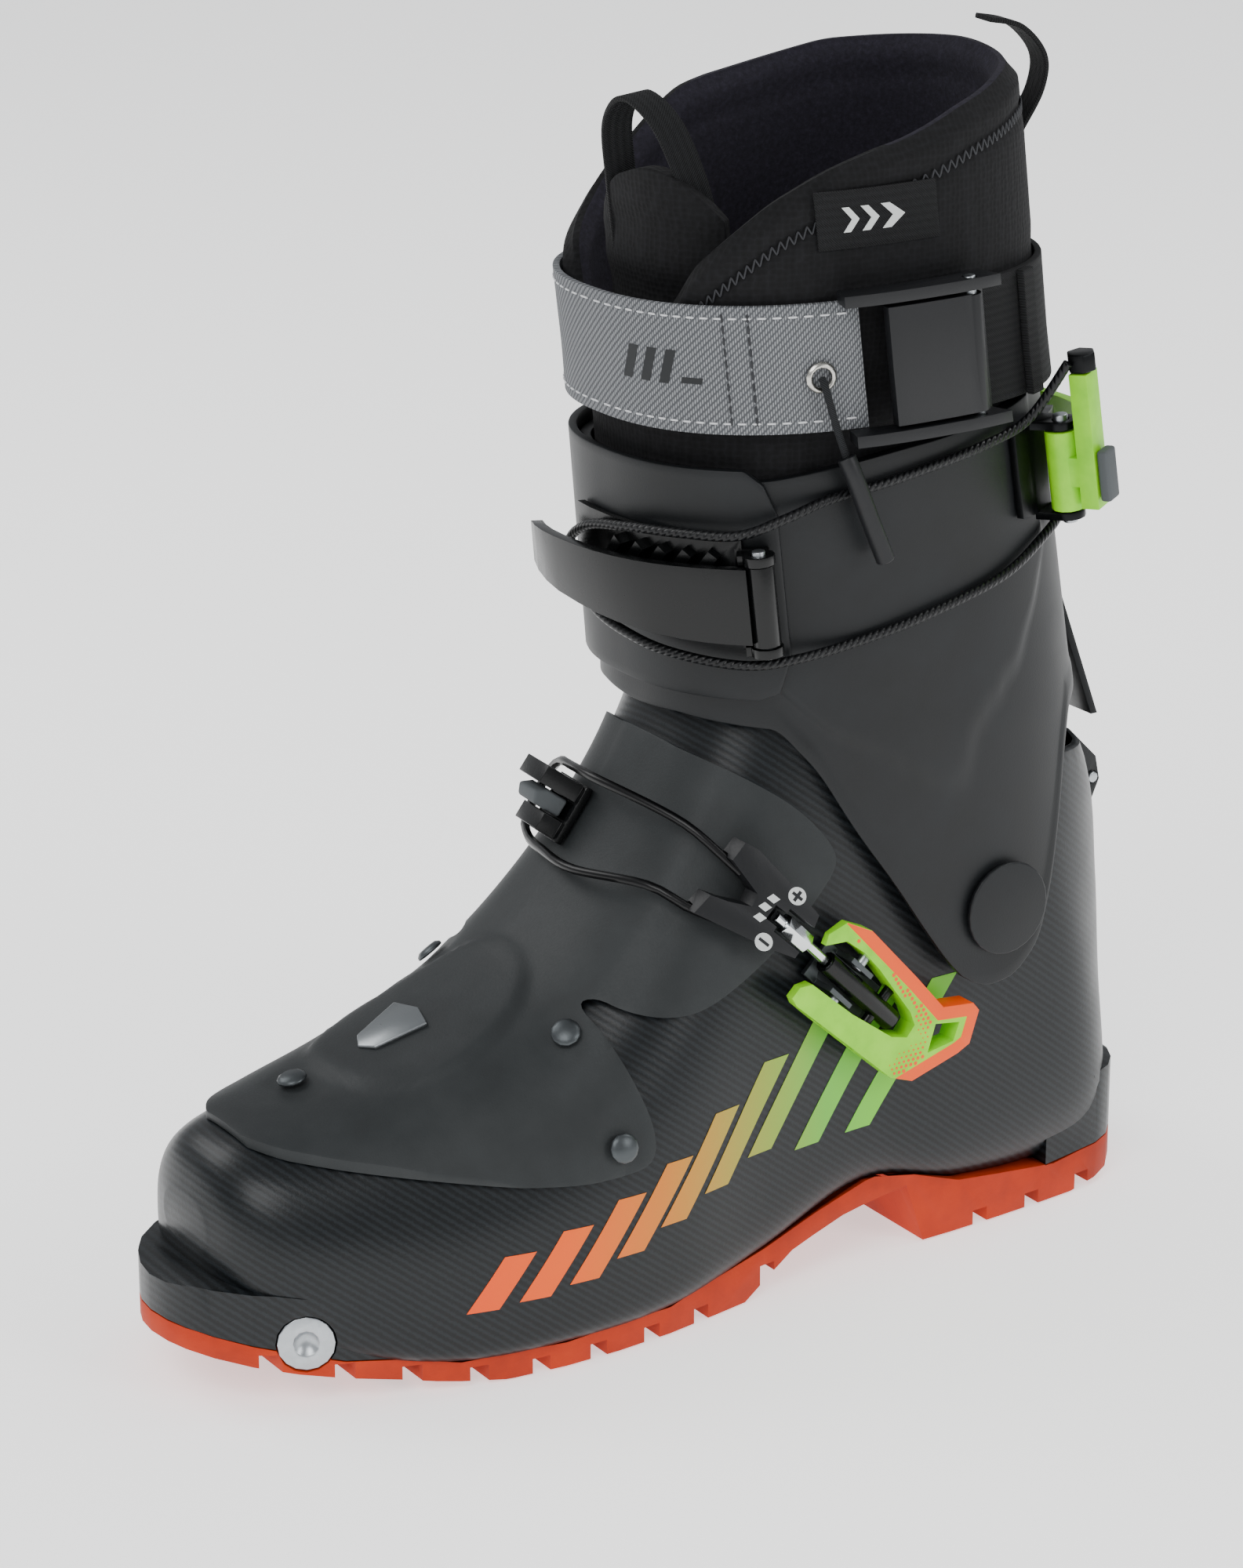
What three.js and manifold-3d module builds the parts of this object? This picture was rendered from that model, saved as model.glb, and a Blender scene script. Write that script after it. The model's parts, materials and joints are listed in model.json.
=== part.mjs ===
// Alpine touring boot, left foot, in millimetres: +Z up, toe towards -Y, outer (lateral) side towards +X.
// The origin is on the ground, half way along the sole and on its centreline.
// A carbon-filled lower shell carries a rubber sole, an overlapping instep cover and the lower cable buckle.
// The cuff turns on two ankle pivots and carries the liner's shaft, the power strap and the upper cable buckle.
import * as THREE from "three";
import { mergeVertices } from "three/addons/utils/BufferGeometryUtils.js";
import Module from "manifold-3d";

const wasm = await Module();
wasm.setup();

// ---------------------------------------------------------------- driving dimensions
const SOLE_LENGTH = 297; // toe ledge to heel ledge
const FOREFOOT_WIDTH = 108; // outer width of the shell at the ball of the foot
const SHELL_HEIGHT = 150; // height that the shell's section table is drawn for
const CUFF_TOP = 240; // top of the cuff at the back
const SHELL_WALL = 3;
const CUFF_WALL = 3;
const LINER_WALL = 7;
const COVER_THICKNESS = 2.6; // instep cover
const LUG_DEPTH = 5.5;
const STRAP_WIDTH = 36;
const WEBBING = 1.8; // thickness of strap webbing
const CABLE_DIAMETER = 2.6;
const PIVOT_COVER_RADIUS = 13;
const FIT_GAP = 0.4; // between pieces that rest on each other
const RUN_GAP = 0.6; // between pieces that move on each other

// The section tables are drawn for a 297 mm sole, 108 mm wide and 150 mm high, and stretch with the driving sizes.
const LONG = SOLE_LENGTH / 297;
const WIDE = FOREFOOT_WIDTH / 108;
const TALL = SHELL_HEIGHT / 150;
const PIVOT = { y: 85 * LONG, z: 98 * TALL }; // ankle axis, parallel to X
const LEAN = 10 / 80; // the cuff's axis moves forward by this for each millimetre up

// ---------------------------------------------------------------- small tools
const V = (x, y, z) => new THREE.Vector3(x, y, z);
const deg = (a) => (a * Math.PI) / 180;
const root = new THREE.Group();

function signedPower(value, exponent) {
  return Math.sign(value) * Math.abs(value) ** exponent;
}

// Smooth curve through evenly spaced values; t runs from 0 to values.length - 1.
function through(values, t) {
  const last = values.length - 1;
  const i = Math.min(Math.max(Math.floor(t), 0), last - 1);
  const at = (k) => values[Math.min(Math.max(k, 0), last)];
  const f = t - i;
  const slope0 = (at(i + 1) - at(i - 1)) / 2;
  const slope1 = (at(i + 2) - at(i)) / 2;
  const f2 = f * f;
  const f3 = f2 * f;
  return (2 * f3 - 3 * f2 + 1) * at(i) + (f3 - 2 * f2 + f) * slope0 + (3 * f2 - 2 * f3) * at(i + 1) + (f3 - f2) * slope1;
}

// Straight-line value between [key, value] pairs, held level past the ends.
function lookUp(pairs, key) {
  if (key <= pairs[0][0]) return pairs[0][1];
  for (let i = 1; i < pairs.length; i++) {
    const [k1, v1] = pairs[i];
    if (key <= k1) {
      const [k0, v0] = pairs[i - 1];
      const f = (key - k0) / (k1 - k0);
      return v0 + (v1 - v0) * f;
    }
  }
  return pairs[pairs.length - 1][1];
}

// A closed geometry from points and triangles, turned round if its faces point inwards.
function closedGeometry(points, triangles) {
  let volume = 0;
  for (let i = 0; i < triangles.length; i += 3) {
    const [a, b, c] = [points[triangles[i]], points[triangles[i + 1]], points[triangles[i + 2]]];
    volume += a.dot(b.clone().cross(c));
  }
  if (volume < 0) triangles.reverse();
  const geometry = new THREE.BufferGeometry();
  geometry.setAttribute("position", new THREE.Float32BufferAttribute(points.flatMap((p) => [p.x, p.y, p.z]), 3));
  geometry.setIndex(triangles);
  return geometry;
}

// Solid through closed rings of equal count, with a flat fan over each end.
function loft(rings) {
  const n = rings[0].length;
  const points = rings.flat();
  const triangles = [];
  for (let i = 0; i < rings.length - 1; i++)
    for (let j = 0; j < n; j++) {
      const [a, b, c, d] = [i * n + j, i * n + ((j + 1) % n), (i + 1) * n + ((j + 1) % n), (i + 1) * n + j];
      triangles.push(a, b, c, a, c, d);
    }
  for (const end of [0, rings.length - 1]) {
    const centre = points.length;
    points.push(rings[end].reduce((sum, p) => sum.add(p), V(0, 0, 0)).divideScalar(n));
    for (let j = 0; j < n; j++) {
      const [a, b] = [end * n + j, end * n + ((j + 1) % n)];
      if (end === 0) triangles.push(centre, b, a);
      else triangles.push(centre, a, b);
    }
  }
  return closedGeometry(points, triangles);
}

// Curved plate between two faces given over the unit square; a ring is joined to itself across v.
function plate(columns, rows, face, back, ring = false) {
  const across = ring ? rows : rows + 1;
  const points = [];
  for (const side of [face, back])
    for (let i = 0; i <= columns; i++)
      for (let j = 0; j < across; j++) points.push(side(i / columns, j / rows));
  const at = (side, i, j) => side * (columns + 1) * across + i * across + (ring ? j % rows : j);
  const triangles = [];
  const quad = (a, b, c, d) => triangles.push(a, b, c, a, c, d);
  for (let i = 0; i < columns; i++)
    for (let j = 0; j < rows; j++) {
      quad(at(0, i, j), at(0, i + 1, j), at(0, i + 1, j + 1), at(0, i, j + 1));
      quad(at(1, i, j), at(1, i, j + 1), at(1, i + 1, j + 1), at(1, i + 1, j));
    }
  for (let j = 0; j < rows; j++) {
    quad(at(0, 0, j), at(0, 0, j + 1), at(1, 0, j + 1), at(1, 0, j));
    quad(at(0, columns, j), at(1, columns, j), at(1, columns, j + 1), at(0, columns, j + 1));
  }
  if (!ring)
    for (let i = 0; i < columns; i++) {
      quad(at(0, i, 0), at(1, i, 0), at(1, i + 1, 0), at(0, i + 1, 0));
      quad(at(0, i, rows), at(0, i + 1, rows), at(1, i + 1, rows), at(1, i, rows));
    }
  return closedGeometry(points, triangles);
}

function solidOf(geometry) {
  const bare = geometry.index ? geometry.toNonIndexed() : geometry.clone();
  for (const name of Object.keys(bare.attributes)) if (name !== "position") bare.deleteAttribute(name);
  const merged = mergeVertices(bare, 1e-3);
  const triVerts = new Uint32Array(merged.index.array);
  return new wasm.Manifold(new wasm.Mesh({ numProp: 3, vertProperties: merged.attributes.position.array, triVerts }));
}

function geometryOf(solid) {
  const mesh = solid.getMesh();
  const geometry = new THREE.BufferGeometry();
  const positions = new Float32Array(mesh.numVert * 3);
  for (let i = 0; i < mesh.numVert; i++)
    positions.set(mesh.vertProperties.subarray(i * mesh.numProp, i * mesh.numProp + 3), i * 3);
  geometry.setAttribute("position", new THREE.BufferAttribute(positions, 3));
  geometry.setIndex(new THREE.BufferAttribute(mesh.triVerts, 1));
  return geometry;
}

const subtract = (base, ...tools) => geometryOf(tools.reduce((s, t) => s.subtract(solidOf(t)), solidOf(base)));
const join = (base, ...others) => geometryOf(others.reduce((s, t) => s.add(solidOf(t)), solidOf(base)));
const intersect = (a, b) => geometryOf(solidOf(a).intersect(solidOf(b)));

const stretched = (outline) => outline.map(([y, z]) => [y * LONG, z * TALL]);

// Flat outline, [a, b] pairs, extruded by depth and centred on its own plane.
function slab(outline, depth) {
  const shape = new THREE.Shape(outline.map(([a, b]) => new THREE.Vector2(a, b)));
  return new THREE.ExtrudeGeometry(shape, { depth, bevelEnabled: false, steps: 1 }).translate(0, 0, -depth / 2);
}

// An outline drawn in side view, (y, z), extruded across the boot along X.
function sideSlab(outline, width) {
  return slab(outline, width).applyMatrix4(new THREE.Matrix4().makeBasis(V(0, 1, 0), V(0, 0, 1), V(1, 0, 0)));
}

function tube(points, diameter, sides, steps) {
  const section = new THREE.Shape();
  section.absarc(0, 0, diameter / 2, 0, 2 * Math.PI);
  const path = new THREE.CatmullRomCurve3(points);
  return new THREE.ExtrudeGeometry(section, { extrudePath: path, steps, curveSegments: sides / 2, bevelEnabled: false });
}

const box = (x, y, z) => new THREE.BoxGeometry(x, y, z);
const rod = (radius, length, sides = 12) => new THREE.CylinderGeometry(radius, radius, length, sides);

// Low dome with a flat underside: a rivet or screw head. Its axis is +Z.
function head(radius, height, sides = 12) {
  const profile = [[0, 0], [radius, 0], [radius, height * 0.45], [radius * 0.7, height * 0.9], [0, height]];
  return new THREE.LatheGeometry(profile.map(([r, h]) => new THREE.Vector2(r, h)), sides).rotateX(Math.PI / 2);
}

function add(parent, name, geometry, colour, roughness, metalness = 0) {
  const mesh = new THREE.Mesh(geometry, new THREE.MeshStandardMaterial({ color: colour, roughness, metalness }));
  mesh.name = name;
  parent.add(mesh);
  return mesh;
}

// A group standing on a surface: its Z is the surface's outward normal, and its X runs along the given direction.
function stand(point, normal, along) {
  const z = normal.clone().normalize();
  const x = along.clone().addScaledVector(z, -along.dot(z)).normalize();
  const group = new THREE.Group();
  group.applyMatrix4(new THREE.Matrix4().makeBasis(x, z.clone().cross(x), z).setPosition(point));
  root.add(group);
  return group;
}

// ---------------------------------------------------------------- lower shell surface
// Each row is one slice, from the toe, round the heel, to the back of the ankle. A slice runs from a point on the
// sole or heel line (y, z) to a point on the instep line (y, z). Then: half width on the outer side, half width on
// the inner side, height share of the widest place, squareness below it and above it.
const SLICES = [
  [-138, 36, -138, 50, 11, 11, 0.5, 2.4, 2.4],
  [-135, 24, -134, 60, 21.5, 21.5, 0.45, 3, 2.4],
  [-128, 15, -125, 65, 31, 30.5, 0.36, 5, 2.5],
  [-110, 9.5, -105, 68, 40.5, 39, 0.33, 6, 2.6],
  [-84, 5.5, -76, 76, 50, 45.5, 0.3, 8, 2.5],
  [-55, 5, -42, 92, 55, 50, 0.27, 8, 2.4],
  [-22, 5.5, -17, 117, 54, 47, 0.25, 8, 2.4],
  [12, 11, 2, 146, 48, 43, 0.27, 8, 2.4],
  [48, 20.5, 14, 172, 44, 41, 0.3, 8, 2.6],
  [80, 12.5, 22, 192, 44, 42, 0.33, 7, 2.8],
  [115, 8, 28, 206, 43.5, 42, 0.36, 5, 2.8],
  [141, 10.5, 32, 216, 43, 42, 0.38, 3.3, 2.8],
  [147, 42, 34, 224, 42, 41.5, 0.4, 2.2, 2.8],
  [147, 76, 36, 232, 40, 40, 0.4, 2, 2.8],
  [143.5, 108, 38, 240, 38.5, 38, 0.42, 2, 2.8],
  [129, 137, 40, 248, 36.5, 36, 0.45, 2, 2.8],
];
const LAST_SLICE = SLICES.length - 1;
const SLICE_COLUMNS = SLICES[0].map((_, column) => SLICES.map((row) => row[column]));
const SLICE_STRETCH = [LONG, TALL, LONG, TALL, WIDE, WIDE, 1, 1, 1];

// A point on the shell: u counts slices, and angle is 0 at the outer side, 90 degrees on the instep and 270 on the sole.
function shellPoint(u, angle, out = 0) {
  const [by, bz, ty, tz, outer, inner, widest, below, above] = SLICE_COLUMNS.map(
    (column, i) => through(column, u) * SLICE_STRETCH[i],
  );
  const [c, s] = [Math.cos(angle), Math.sin(angle)];
  const power = 2 / (s >= 0 ? above : below);
  const length = Math.hypot(ty - by, tz - bz);
  const along = widest * length + signedPower(s, power) * ((s >= 0 ? 1 - widest : widest) * length + out);
  const x = signedPower(c, power) * ((c >= 0 ? outer : inner) + out);
  return V(x, by + ((ty - by) * along) / length, bz + ((tz - bz) * along) / length);
}

function shellRing(u, out, sides) {
  return Array.from({ length: sides }, (_, i) => shellPoint(u, (2 * Math.PI * i) / sides, out));
}

// The slice count and angle of the shell's surface at a side-view place (y, z), on the outer or the inner side.
function shellPlace(y, z, side = 1) {
  let [low, high] = [0, LAST_SLICE];
  const ahead = (u) => {
    const [by, bz, ty, tz] = SLICE_COLUMNS.slice(0, 4).map((column, i) => through(column, u) * SLICE_STRETCH[i]);
    return (ty - by) * (z - bz) - (tz - bz) * (y - by);
  };
  for (let i = 0; i < 40; i++) {
    const middle = (low + high) / 2;
    if (ahead(middle) > 0) high = middle;
    else low = middle;
  }
  const [by, bz, ty, tz, , , widest, below, above] = SLICE_COLUMNS.map(
    (column, i) => through(column, low) * SLICE_STRETCH[i],
  );
  const share = ((y - by) * (ty - by) + (z - bz) * (tz - bz)) / ((ty - by) ** 2 + (tz - bz) ** 2);
  const t = share >= widest ? (share - widest) / (1 - widest) : (share - widest) / widest;
  const lift = Math.asin(signedPower(Math.max(-1, Math.min(1, t)), (t >= 0 ? above : below) / 2));
  return { u: low, angle: side > 0 ? lift : Math.PI - lift };
}

// Point, outward normal and direction along the boot at a place on the shell.
function shellFrame(place, out = 0) {
  const { u, angle } = place;
  const point = shellPoint(u, angle, out);
  const along = shellPoint(u + 0.1, angle, out).sub(shellPoint(u - 0.1, angle, out)).normalize();
  const round = shellPoint(u, angle + 0.1, out).sub(shellPoint(u, angle - 0.1, out)).normalize();
  return { point, normal: along.clone().cross(round).normalize(), along };
}

// ---------------------------------------------------------------- cuff surface
const CUFF_HALF_WIDTHS = [[100, 51.5], [150, 51], [200, 49], [250, 47.5]]; // at each height
const CUFF_HALF_DEPTHS = [[150, 66], [200, 64.5], [250, 63]];
const CUFF_SQUARENESS = 2.4;
const CUFF_CENTRE_LOW = 66 * LONG; // centre of the section at the cuff's lower front edge
const CUFF_LOW_HEIGHT = 150 * TALL;

// A point on the cuff, angle in degrees: 0 at the outer side, 90 at the heel side and -90 at the shin.
function cuffPoint(angle, z, out = 0) {
  const a = lookUp(CUFF_HALF_WIDTHS, z / TALL) * WIDE + out;
  const b = lookUp(CUFF_HALF_DEPTHS, z / TALL) * LONG + out;
  const power = 2 / CUFF_SQUARENESS;
  const centre = CUFF_CENTRE_LOW - (z - CUFF_LOW_HEIGHT) * LEAN;
  return V(signedPower(Math.cos(deg(angle)), power) * a, centre + signedPower(Math.sin(deg(angle)), power) * b, z);
}

// Point, outward normal, direction round the leg and direction up the cuff.
function cuffFrame(angle, z, out = 0) {
  const point = cuffPoint(angle, z, out);
  const round = cuffPoint(angle + 3, z, out).sub(cuffPoint(angle - 3, z, out)).normalize();
  const up = cuffPoint(angle, z + 2, out).sub(cuffPoint(angle, z - 2, out)).normalize();
  const normal = round.clone().cross(up).normalize();
  return { point, normal, round: up.clone().cross(normal), up };
}

// Angle folded so that both sides of the boot share one edge table, from the shin (-90) to the heel (90).
function folded(angle) {
  const a = ((angle + 450) % 360) - 90;
  return a > 90 ? 180 - a : a;
}

const CUFF_LOWER_EDGE = [
  [-90, 158], [-74, 159], [-56, 158], [-42, 157], [-32, 145], [-24, 128], [-15, 111], [-3, 83], [1, 76], [9, 77],
  [18, 85], [25, 101], [37, 134], [44, 146], [60, 150], [75, 151], [77, 174], [90, 176],
];
const CUFF_UPPER_EDGE = [[-90, 226], [-40, 224], [0, 230], [50, CUFF_TOP - 2], [90, CUFF_TOP]];
const cuffLow = (angle) => lookUp(CUFF_LOWER_EDGE, folded(angle)) * TALL;
const cuffHigh = (angle) => lookUp(CUFF_UPPER_EDGE, folded(angle));

// Curved plate on the cuff between two angles and two heights, which may be numbers or functions.
function cuffPlate(from, to, low, high, inner, outer, columns, rows) {
  const value = (v, angle) => (typeof v === "function" ? v(angle) : v);
  const side = (out) => (s, t) => {
    const angle = from + (to - from) * s;
    return cuffPoint(angle, value(low, angle) * (1 - t) + value(high, angle) * t, value(out, angle));
  };
  return plate(columns, rows, side(outer), side(inner));
}

// ---------------------------------------------------------------- lower shell
const SHELL_RINGS = [0, 0.3, 0.7, 1, 1.5, 2, 3, 4, 5, 6, 7, 8, 9, 10, 11, 11.5, 12, 13, 14, 15];
const SHELL_SIDES = 32;
const CAVITY_SIDES = 22;

function shellLoft(out, from = 0, sides = SHELL_SIDES) {
  return loft(SHELL_RINGS.filter((u) => u >= from).map((u) => shellRing(u, out, sides)));
}

// Everything above the open throat of the shell, in side view: y, z.
const THROAT = [
  [-40, 300], [-40, 170], [3, 158], [9, 158], [40, 150], [85, 141], [110, 133], [134, 130], [190, 130], [190, 300],
];
const throatCut = sideSlab(stretched(THROAT), 140 * WIDE);

// The toe ledge follows a rounded toe outline in plan.
const TOE_LENGTH = 62 * LONG;
const TOE_TIP = -SOLE_LENGTH / 2;
function toeHalfWidth(y, half) {
  const share = Math.min(1, Math.max(0, (TOE_TIP + TOE_LENGTH - y) / TOE_LENGTH));
  return half * Math.sqrt(1 - share ** 2);
}
const SEAM_ANGLE = deg(-42); // where the shell's wall meets the sole rubber
const seamPoint = (u, side) => shellPoint(u, side > 0 ? SEAM_ANGLE : Math.PI - SEAM_ANGLE);
const TOE_JOINT = 3.5; // slice at which the toe's round end begins
const HEEL_START = 10.6; // slice at which the heel's round end begins
const HEEL_ROUND = 2.4; // power of the heel's outline
const HEEL_TIP = SOLE_LENGTH / 2;

// Plan outline of the sole, anticlockwise from the toe's tip round the outer side.
function solePlan() {
  const points = [];
  const toeRows = [0, 0.015, 0.05, 0.12, 0.24, 0.4, 0.58];
  const heelRows = [0.25, 0.5, 0.7, 0.85, 0.95, 1];
  for (const side of [1, -1]) {
    const joint = seamPoint(TOE_JOINT, side);
    const heel = seamPoint(HEEL_START, side);
    const half = [];
    for (const share of toeRows) {
      const y = TOE_TIP + TOE_LENGTH * share;
      half.push([toeHalfWidth(y, joint.x), y]);
    }
    for (let u = TOE_JOINT; u <= HEEL_START; u += 0.5) half.push([seamPoint(u, side).x, seamPoint(u, side).y]);
    for (const share of heelRows)
      half.push([heel.x * (1 - share ** HEEL_ROUND) ** (1 / HEEL_ROUND), heel.y + (HEEL_TIP - heel.y) * share]);
    if (side > 0) points.push(...half);
    else points.push(...half.slice(1, -1).reverse());
  }
  return points;
}
const soleOutline = solePlan();
const soleBlock = slab(soleOutline, 80).translate(0, 0, 30);

const LEDGE = [
  [-96, 10], [-113, 12], [-128, 16], [-150, 21], [-150, 30], [-144, 32], [-128, 31], [-96, 26],
];
const ledge = intersect(sideSlab(stretched(LEDGE), 110 * WIDE), soleBlock);
const HEEL_BLOCK = [[112, 11], [150, 14], [150, 32], [144, 34], [112, 34]];
const heelBlock = intersect(sideSlab(stretched(HEEL_BLOCK), 110 * WIDE), soleBlock);

const INSERT = { y: -122 * LONG, z: 17.5 * TALL, radius: 7.5, depth: 6, turn: deg(26), face: 0.4 };
const insertX = (side) => side * (toeHalfWidth(INSERT.y, Math.abs(seamPoint(TOE_JOINT, side).x)) - INSERT.face);
// A round plug at a toe insert's place; out is how far its outer end stands past the insert's own face.
function insertTool(side, radius, depth, out = 0) {
  const tool = rod(radius, depth, 16).rotateZ(-Math.PI / 2).translate(out - depth / 2, 0, 0);
  if (side < 0) tool.rotateZ(Math.PI);
  return tool.rotateZ(-side * INSERT.turn).translate(insertX(side), INSERT.y, INSERT.z);
}

const PIVOT_PIN_RADIUS = 4;
const PIVOT_DRUM_RADIUS = 6;
const pivotHole = (radius) =>
  rod(radius, 140 * WIDE).rotateZ(Math.PI / 2).translate(0, PIVOT.y, PIVOT.z);

const insertSeat = (side) => insertTool(side, INSERT.radius + FIT_GAP, INSERT.depth + FIT_GAP + 8, 8);

// Seat of the steel plate in the heel's end.
const HEEL_PLATE = { width: 24, height: 17, thickness: 2, z: 17 };
const heelSeat = box(HEEL_PLATE.width + 2 * FIT_GAP, 8, HEEL_PLATE.height + 2 * FIT_GAP).translate(
  0, HEEL_TIP + 4 - HEEL_PLATE.thickness - FIT_GAP, HEEL_PLATE.z * TALL);

// The cavity's floor is raised at the toe, where the inserts' roots are.
const TOE_FLOOR = stretched([[-160, -10], [-104, -10], [-104, 27], [-160, 27]]);
const cavity = subtract(shellLoft(-SHELL_WALL, 1, CAVITY_SIDES), sideSlab(TOE_FLOOR, 140 * WIDE));
const shellBody = join(shellLoft(0), ledge, heelBlock);
add(
  root,
  "lower_shell",
  subtract(
    shellBody,
    cavity,
    throatCut,
    insertSeat(1),
    insertSeat(-1),
    heelSeat,
    pivotHole(PIVOT_PIN_RADIUS + FIT_GAP),
  ),
  0x1b2022,
  0.35,
);

// ---------------------------------------------------------------- rubber sole
// Bottom line of the lugs in side view, flat under the ball of the foot and under the heel.
const TREAD = [
  [-160, 17], [-128, 10], [-113, 7], [-90, 2.5], [-72, 0], [5, 0], [12, 4], [22, 10], [40, 15], [62, 18], [68, 0],
  [122, 0], [138, 3], [160, 12],
];
const SOLE_TOP = [
  [160, 17], [128, 12], [115, 10.5], [80, 15], [66, 20], [56, 24], [48, 23], [30, 18.5], [12, 13.5], [-22, 8], [-55, 7.5],
  [-84, 8], [-110, 12], [-128, 17], [-160, 22],
];
const LUG_CUTS = [-130, -113, -96, -79, -62, -45, -28, -11, 13, 88, 107, 126]; // y of each channel's front edge
const LUG_CHANNEL = 5;

function soleRubber() {
  const block = intersect(sideSlab(stretched([...TREAD, ...SOLE_TOP]), 120 * WIDE), soleBlock);
  const channels = LUG_CUTS.map((y) => {
    const floor = lookUp(TREAD, y) * TALL;
    return box(130 * WIDE, LUG_CHANNEL, 2 * LUG_DEPTH).translate(0, y * LONG, floor - LUG_DEPTH + LUG_DEPTH * 0.75);
  });
  return subtract(block, shellLoft(FIT_GAP), ...channels, insertSeat(1), insertSeat(-1), heelSeat);
}
// The ledge grown downwards and outwards by the fit gap, to cut its seat in the rubber.
function grownLedge(outline) {
  return sideSlab(stretched(outline.map(([y, z]) => [y, z > 20 ? z : z - FIT_GAP])), 120 * WIDE);
}

add(root, "outsole", subtract(soleRubber(), grownLedge(LEDGE), grownLedge(HEEL_BLOCK)), 0xb5451c, 0.7);

// ---------------------------------------------------------------- toe and heel inserts
const DIMPLE_RADIUS = 3.6;
for (const [name, side] of [["toe_insert_outer", 1], ["toe_insert_inner", -1]]) {
  const dimple = new THREE.ConeGeometry(DIMPLE_RADIUS, 5, 12).rotateZ(Math.PI / 2).translate(0.1 - 2.5, 0, 0);
  if (side < 0) dimple.rotateZ(Math.PI);
  dimple.rotateZ(-side * INSERT.turn).translate(insertX(side), INSERT.y, INSERT.z);
  add(root, name, subtract(insertTool(side, INSERT.radius, INSERT.depth), dimple), 0xb9bec2, 0.35, 1);
}

// Heel insert: a steel plate let into the heel's end, with a slot for the binding's pins and two screws.
const heelPlate = box(HEEL_PLATE.width, HEEL_PLATE.thickness, HEEL_PLATE.height);
add(
  root,
  "heel_insert",
  subtract(
    heelPlate.translate(0, HEEL_TIP - HEEL_PLATE.thickness / 2, HEEL_PLATE.z * TALL),
    box(5, 10, 8).translate(0, HEEL_TIP, HEEL_PLATE.z * TALL - HEEL_PLATE.height / 2 + 3),
  ),
  0xb9bec2,
  0.35,
  1,
);

// ---------------------------------------------------------------- boot board and liner foot
const BOARD_TOP = [[-102, 16], [-60, 15], [-20, 17], [20, 24], [60, 30], [100, 32], [150, 34]];
const boardShape = stretched([...BOARD_TOP, [150, -5], [-102, -5]]);
const boardBody = shellLoft(-SHELL_WALL - FIT_GAP, 1, CAVITY_SIDES);
add(root, "boot_board", intersect(boardBody, sideSlab(boardShape, 120 * WIDE)), 0x2a2c30, 0.8);

// The foot of the liner ends on an arc round the ankle axis, so that the cuff can swing over it.
const ANKLE_ARC = 92; // radius of the liner's fixed foot
const SHAFT_ARC = 103; // radius from which the liner's shaft moves with the cuff
const arcOutline = (radius, from, to) =>
  Array.from({ length: 13 }, (_, i) => {
    const a = deg(from + ((to - from) * i) / 12);
    return [PIVOT.y + radius * LONG * Math.cos(a), PIVOT.z + radius * TALL * Math.sin(a)];
  });
const BOARD_GAP = 1;
const LINER_SOLE = BOARD_TOP.map(([y, z]) => [y, z + BOARD_GAP]);
const linerFootOutline = [
  ...stretched([[-150, 120], [-150, 28], [-103, 28], [-103, 17], ...LINER_SOLE, [146, 36], [142, 100]]),
  ...stretched([[128, 118], [117, 135], [94, 165]]),
  ...arcOutline(ANKLE_ARC, 99, 146),
];
const LINER_OUT = -SHELL_WALL - FIT_GAP - 0.4;
const linerFootSkin = intersect(shellLoft(LINER_OUT, 1, CAVITY_SIDES), sideSlab(linerFootOutline, 120 * WIDE));
const FOOT_ROOM = stretched([
  [-122, 33], [-100, 24], [-60, 22], [-20, 24], [20, 31], [60, 37], [100, 39], [130, 42], [130, 260], [-122, 260],
]);
const footRoom = intersect(shellLoft(LINER_OUT - LINER_WALL, 1.5, 20), sideSlab(FOOT_ROOM, 110 * WIDE));
add(root, "liner_foot", subtract(linerFootSkin, footRoom), 0x26262b, 0.9);

// ---------------------------------------------------------------- instep cover
// Side view of the cover's edge, from the toe along the lower edge, round the notch and up to the cuff.
const COVER_EDGE = [
  [-126, 100], [-127, 64], [-122, 63], [-106, 60], [-87, 57], [-70, 54], [-52, 52], [-39, 52], [-31, 54], [-30, 62],
  [-34, 76], [-37, 86], [-39, 91], [-35, 93], [-30, 90], [-20, 88], [-9, 89], [6, 95], [17, 102], [27, 110], [34, 118],
  [33, 124], [24, 135], [10, 145], [-2, 151], [-32, 200],
];
// Its front edge in plan on the outer side, x and y; the inner side is a little narrower.
const COVER_FRONT = [[8, -127], [18, -122], [25, -114], [31.5, -105.5], [43, -87], [50.5, -70], [60, -50], [72, -30], [72, 170]];
const INNER_SHARE = 0.93;
const coverPlan = [
  ...COVER_FRONT.map(([x, y]) => [x * WIDE, y * LONG]),
  ...COVER_FRONT.map(([x, y]) => [-x * INNER_SHARE * WIDE, y * LONG]).reverse(),
];
const coverLayer = subtract(shellLoft(FIT_GAP + COVER_THICKNESS), shellLoft(FIT_GAP));
const coverSide = intersect(coverLayer, sideSlab(stretched(COVER_EDGE), 130 * WIDE));
const coverBody = intersect(coverSide, slab(coverPlan, 260 * TALL).translate(0, 0, 120 * TALL));
add(root, "instep_cover", coverBody, 0x3b3f41, 0.55);
const COVER_OUT = FIT_GAP + COVER_THICKNESS;

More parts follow.
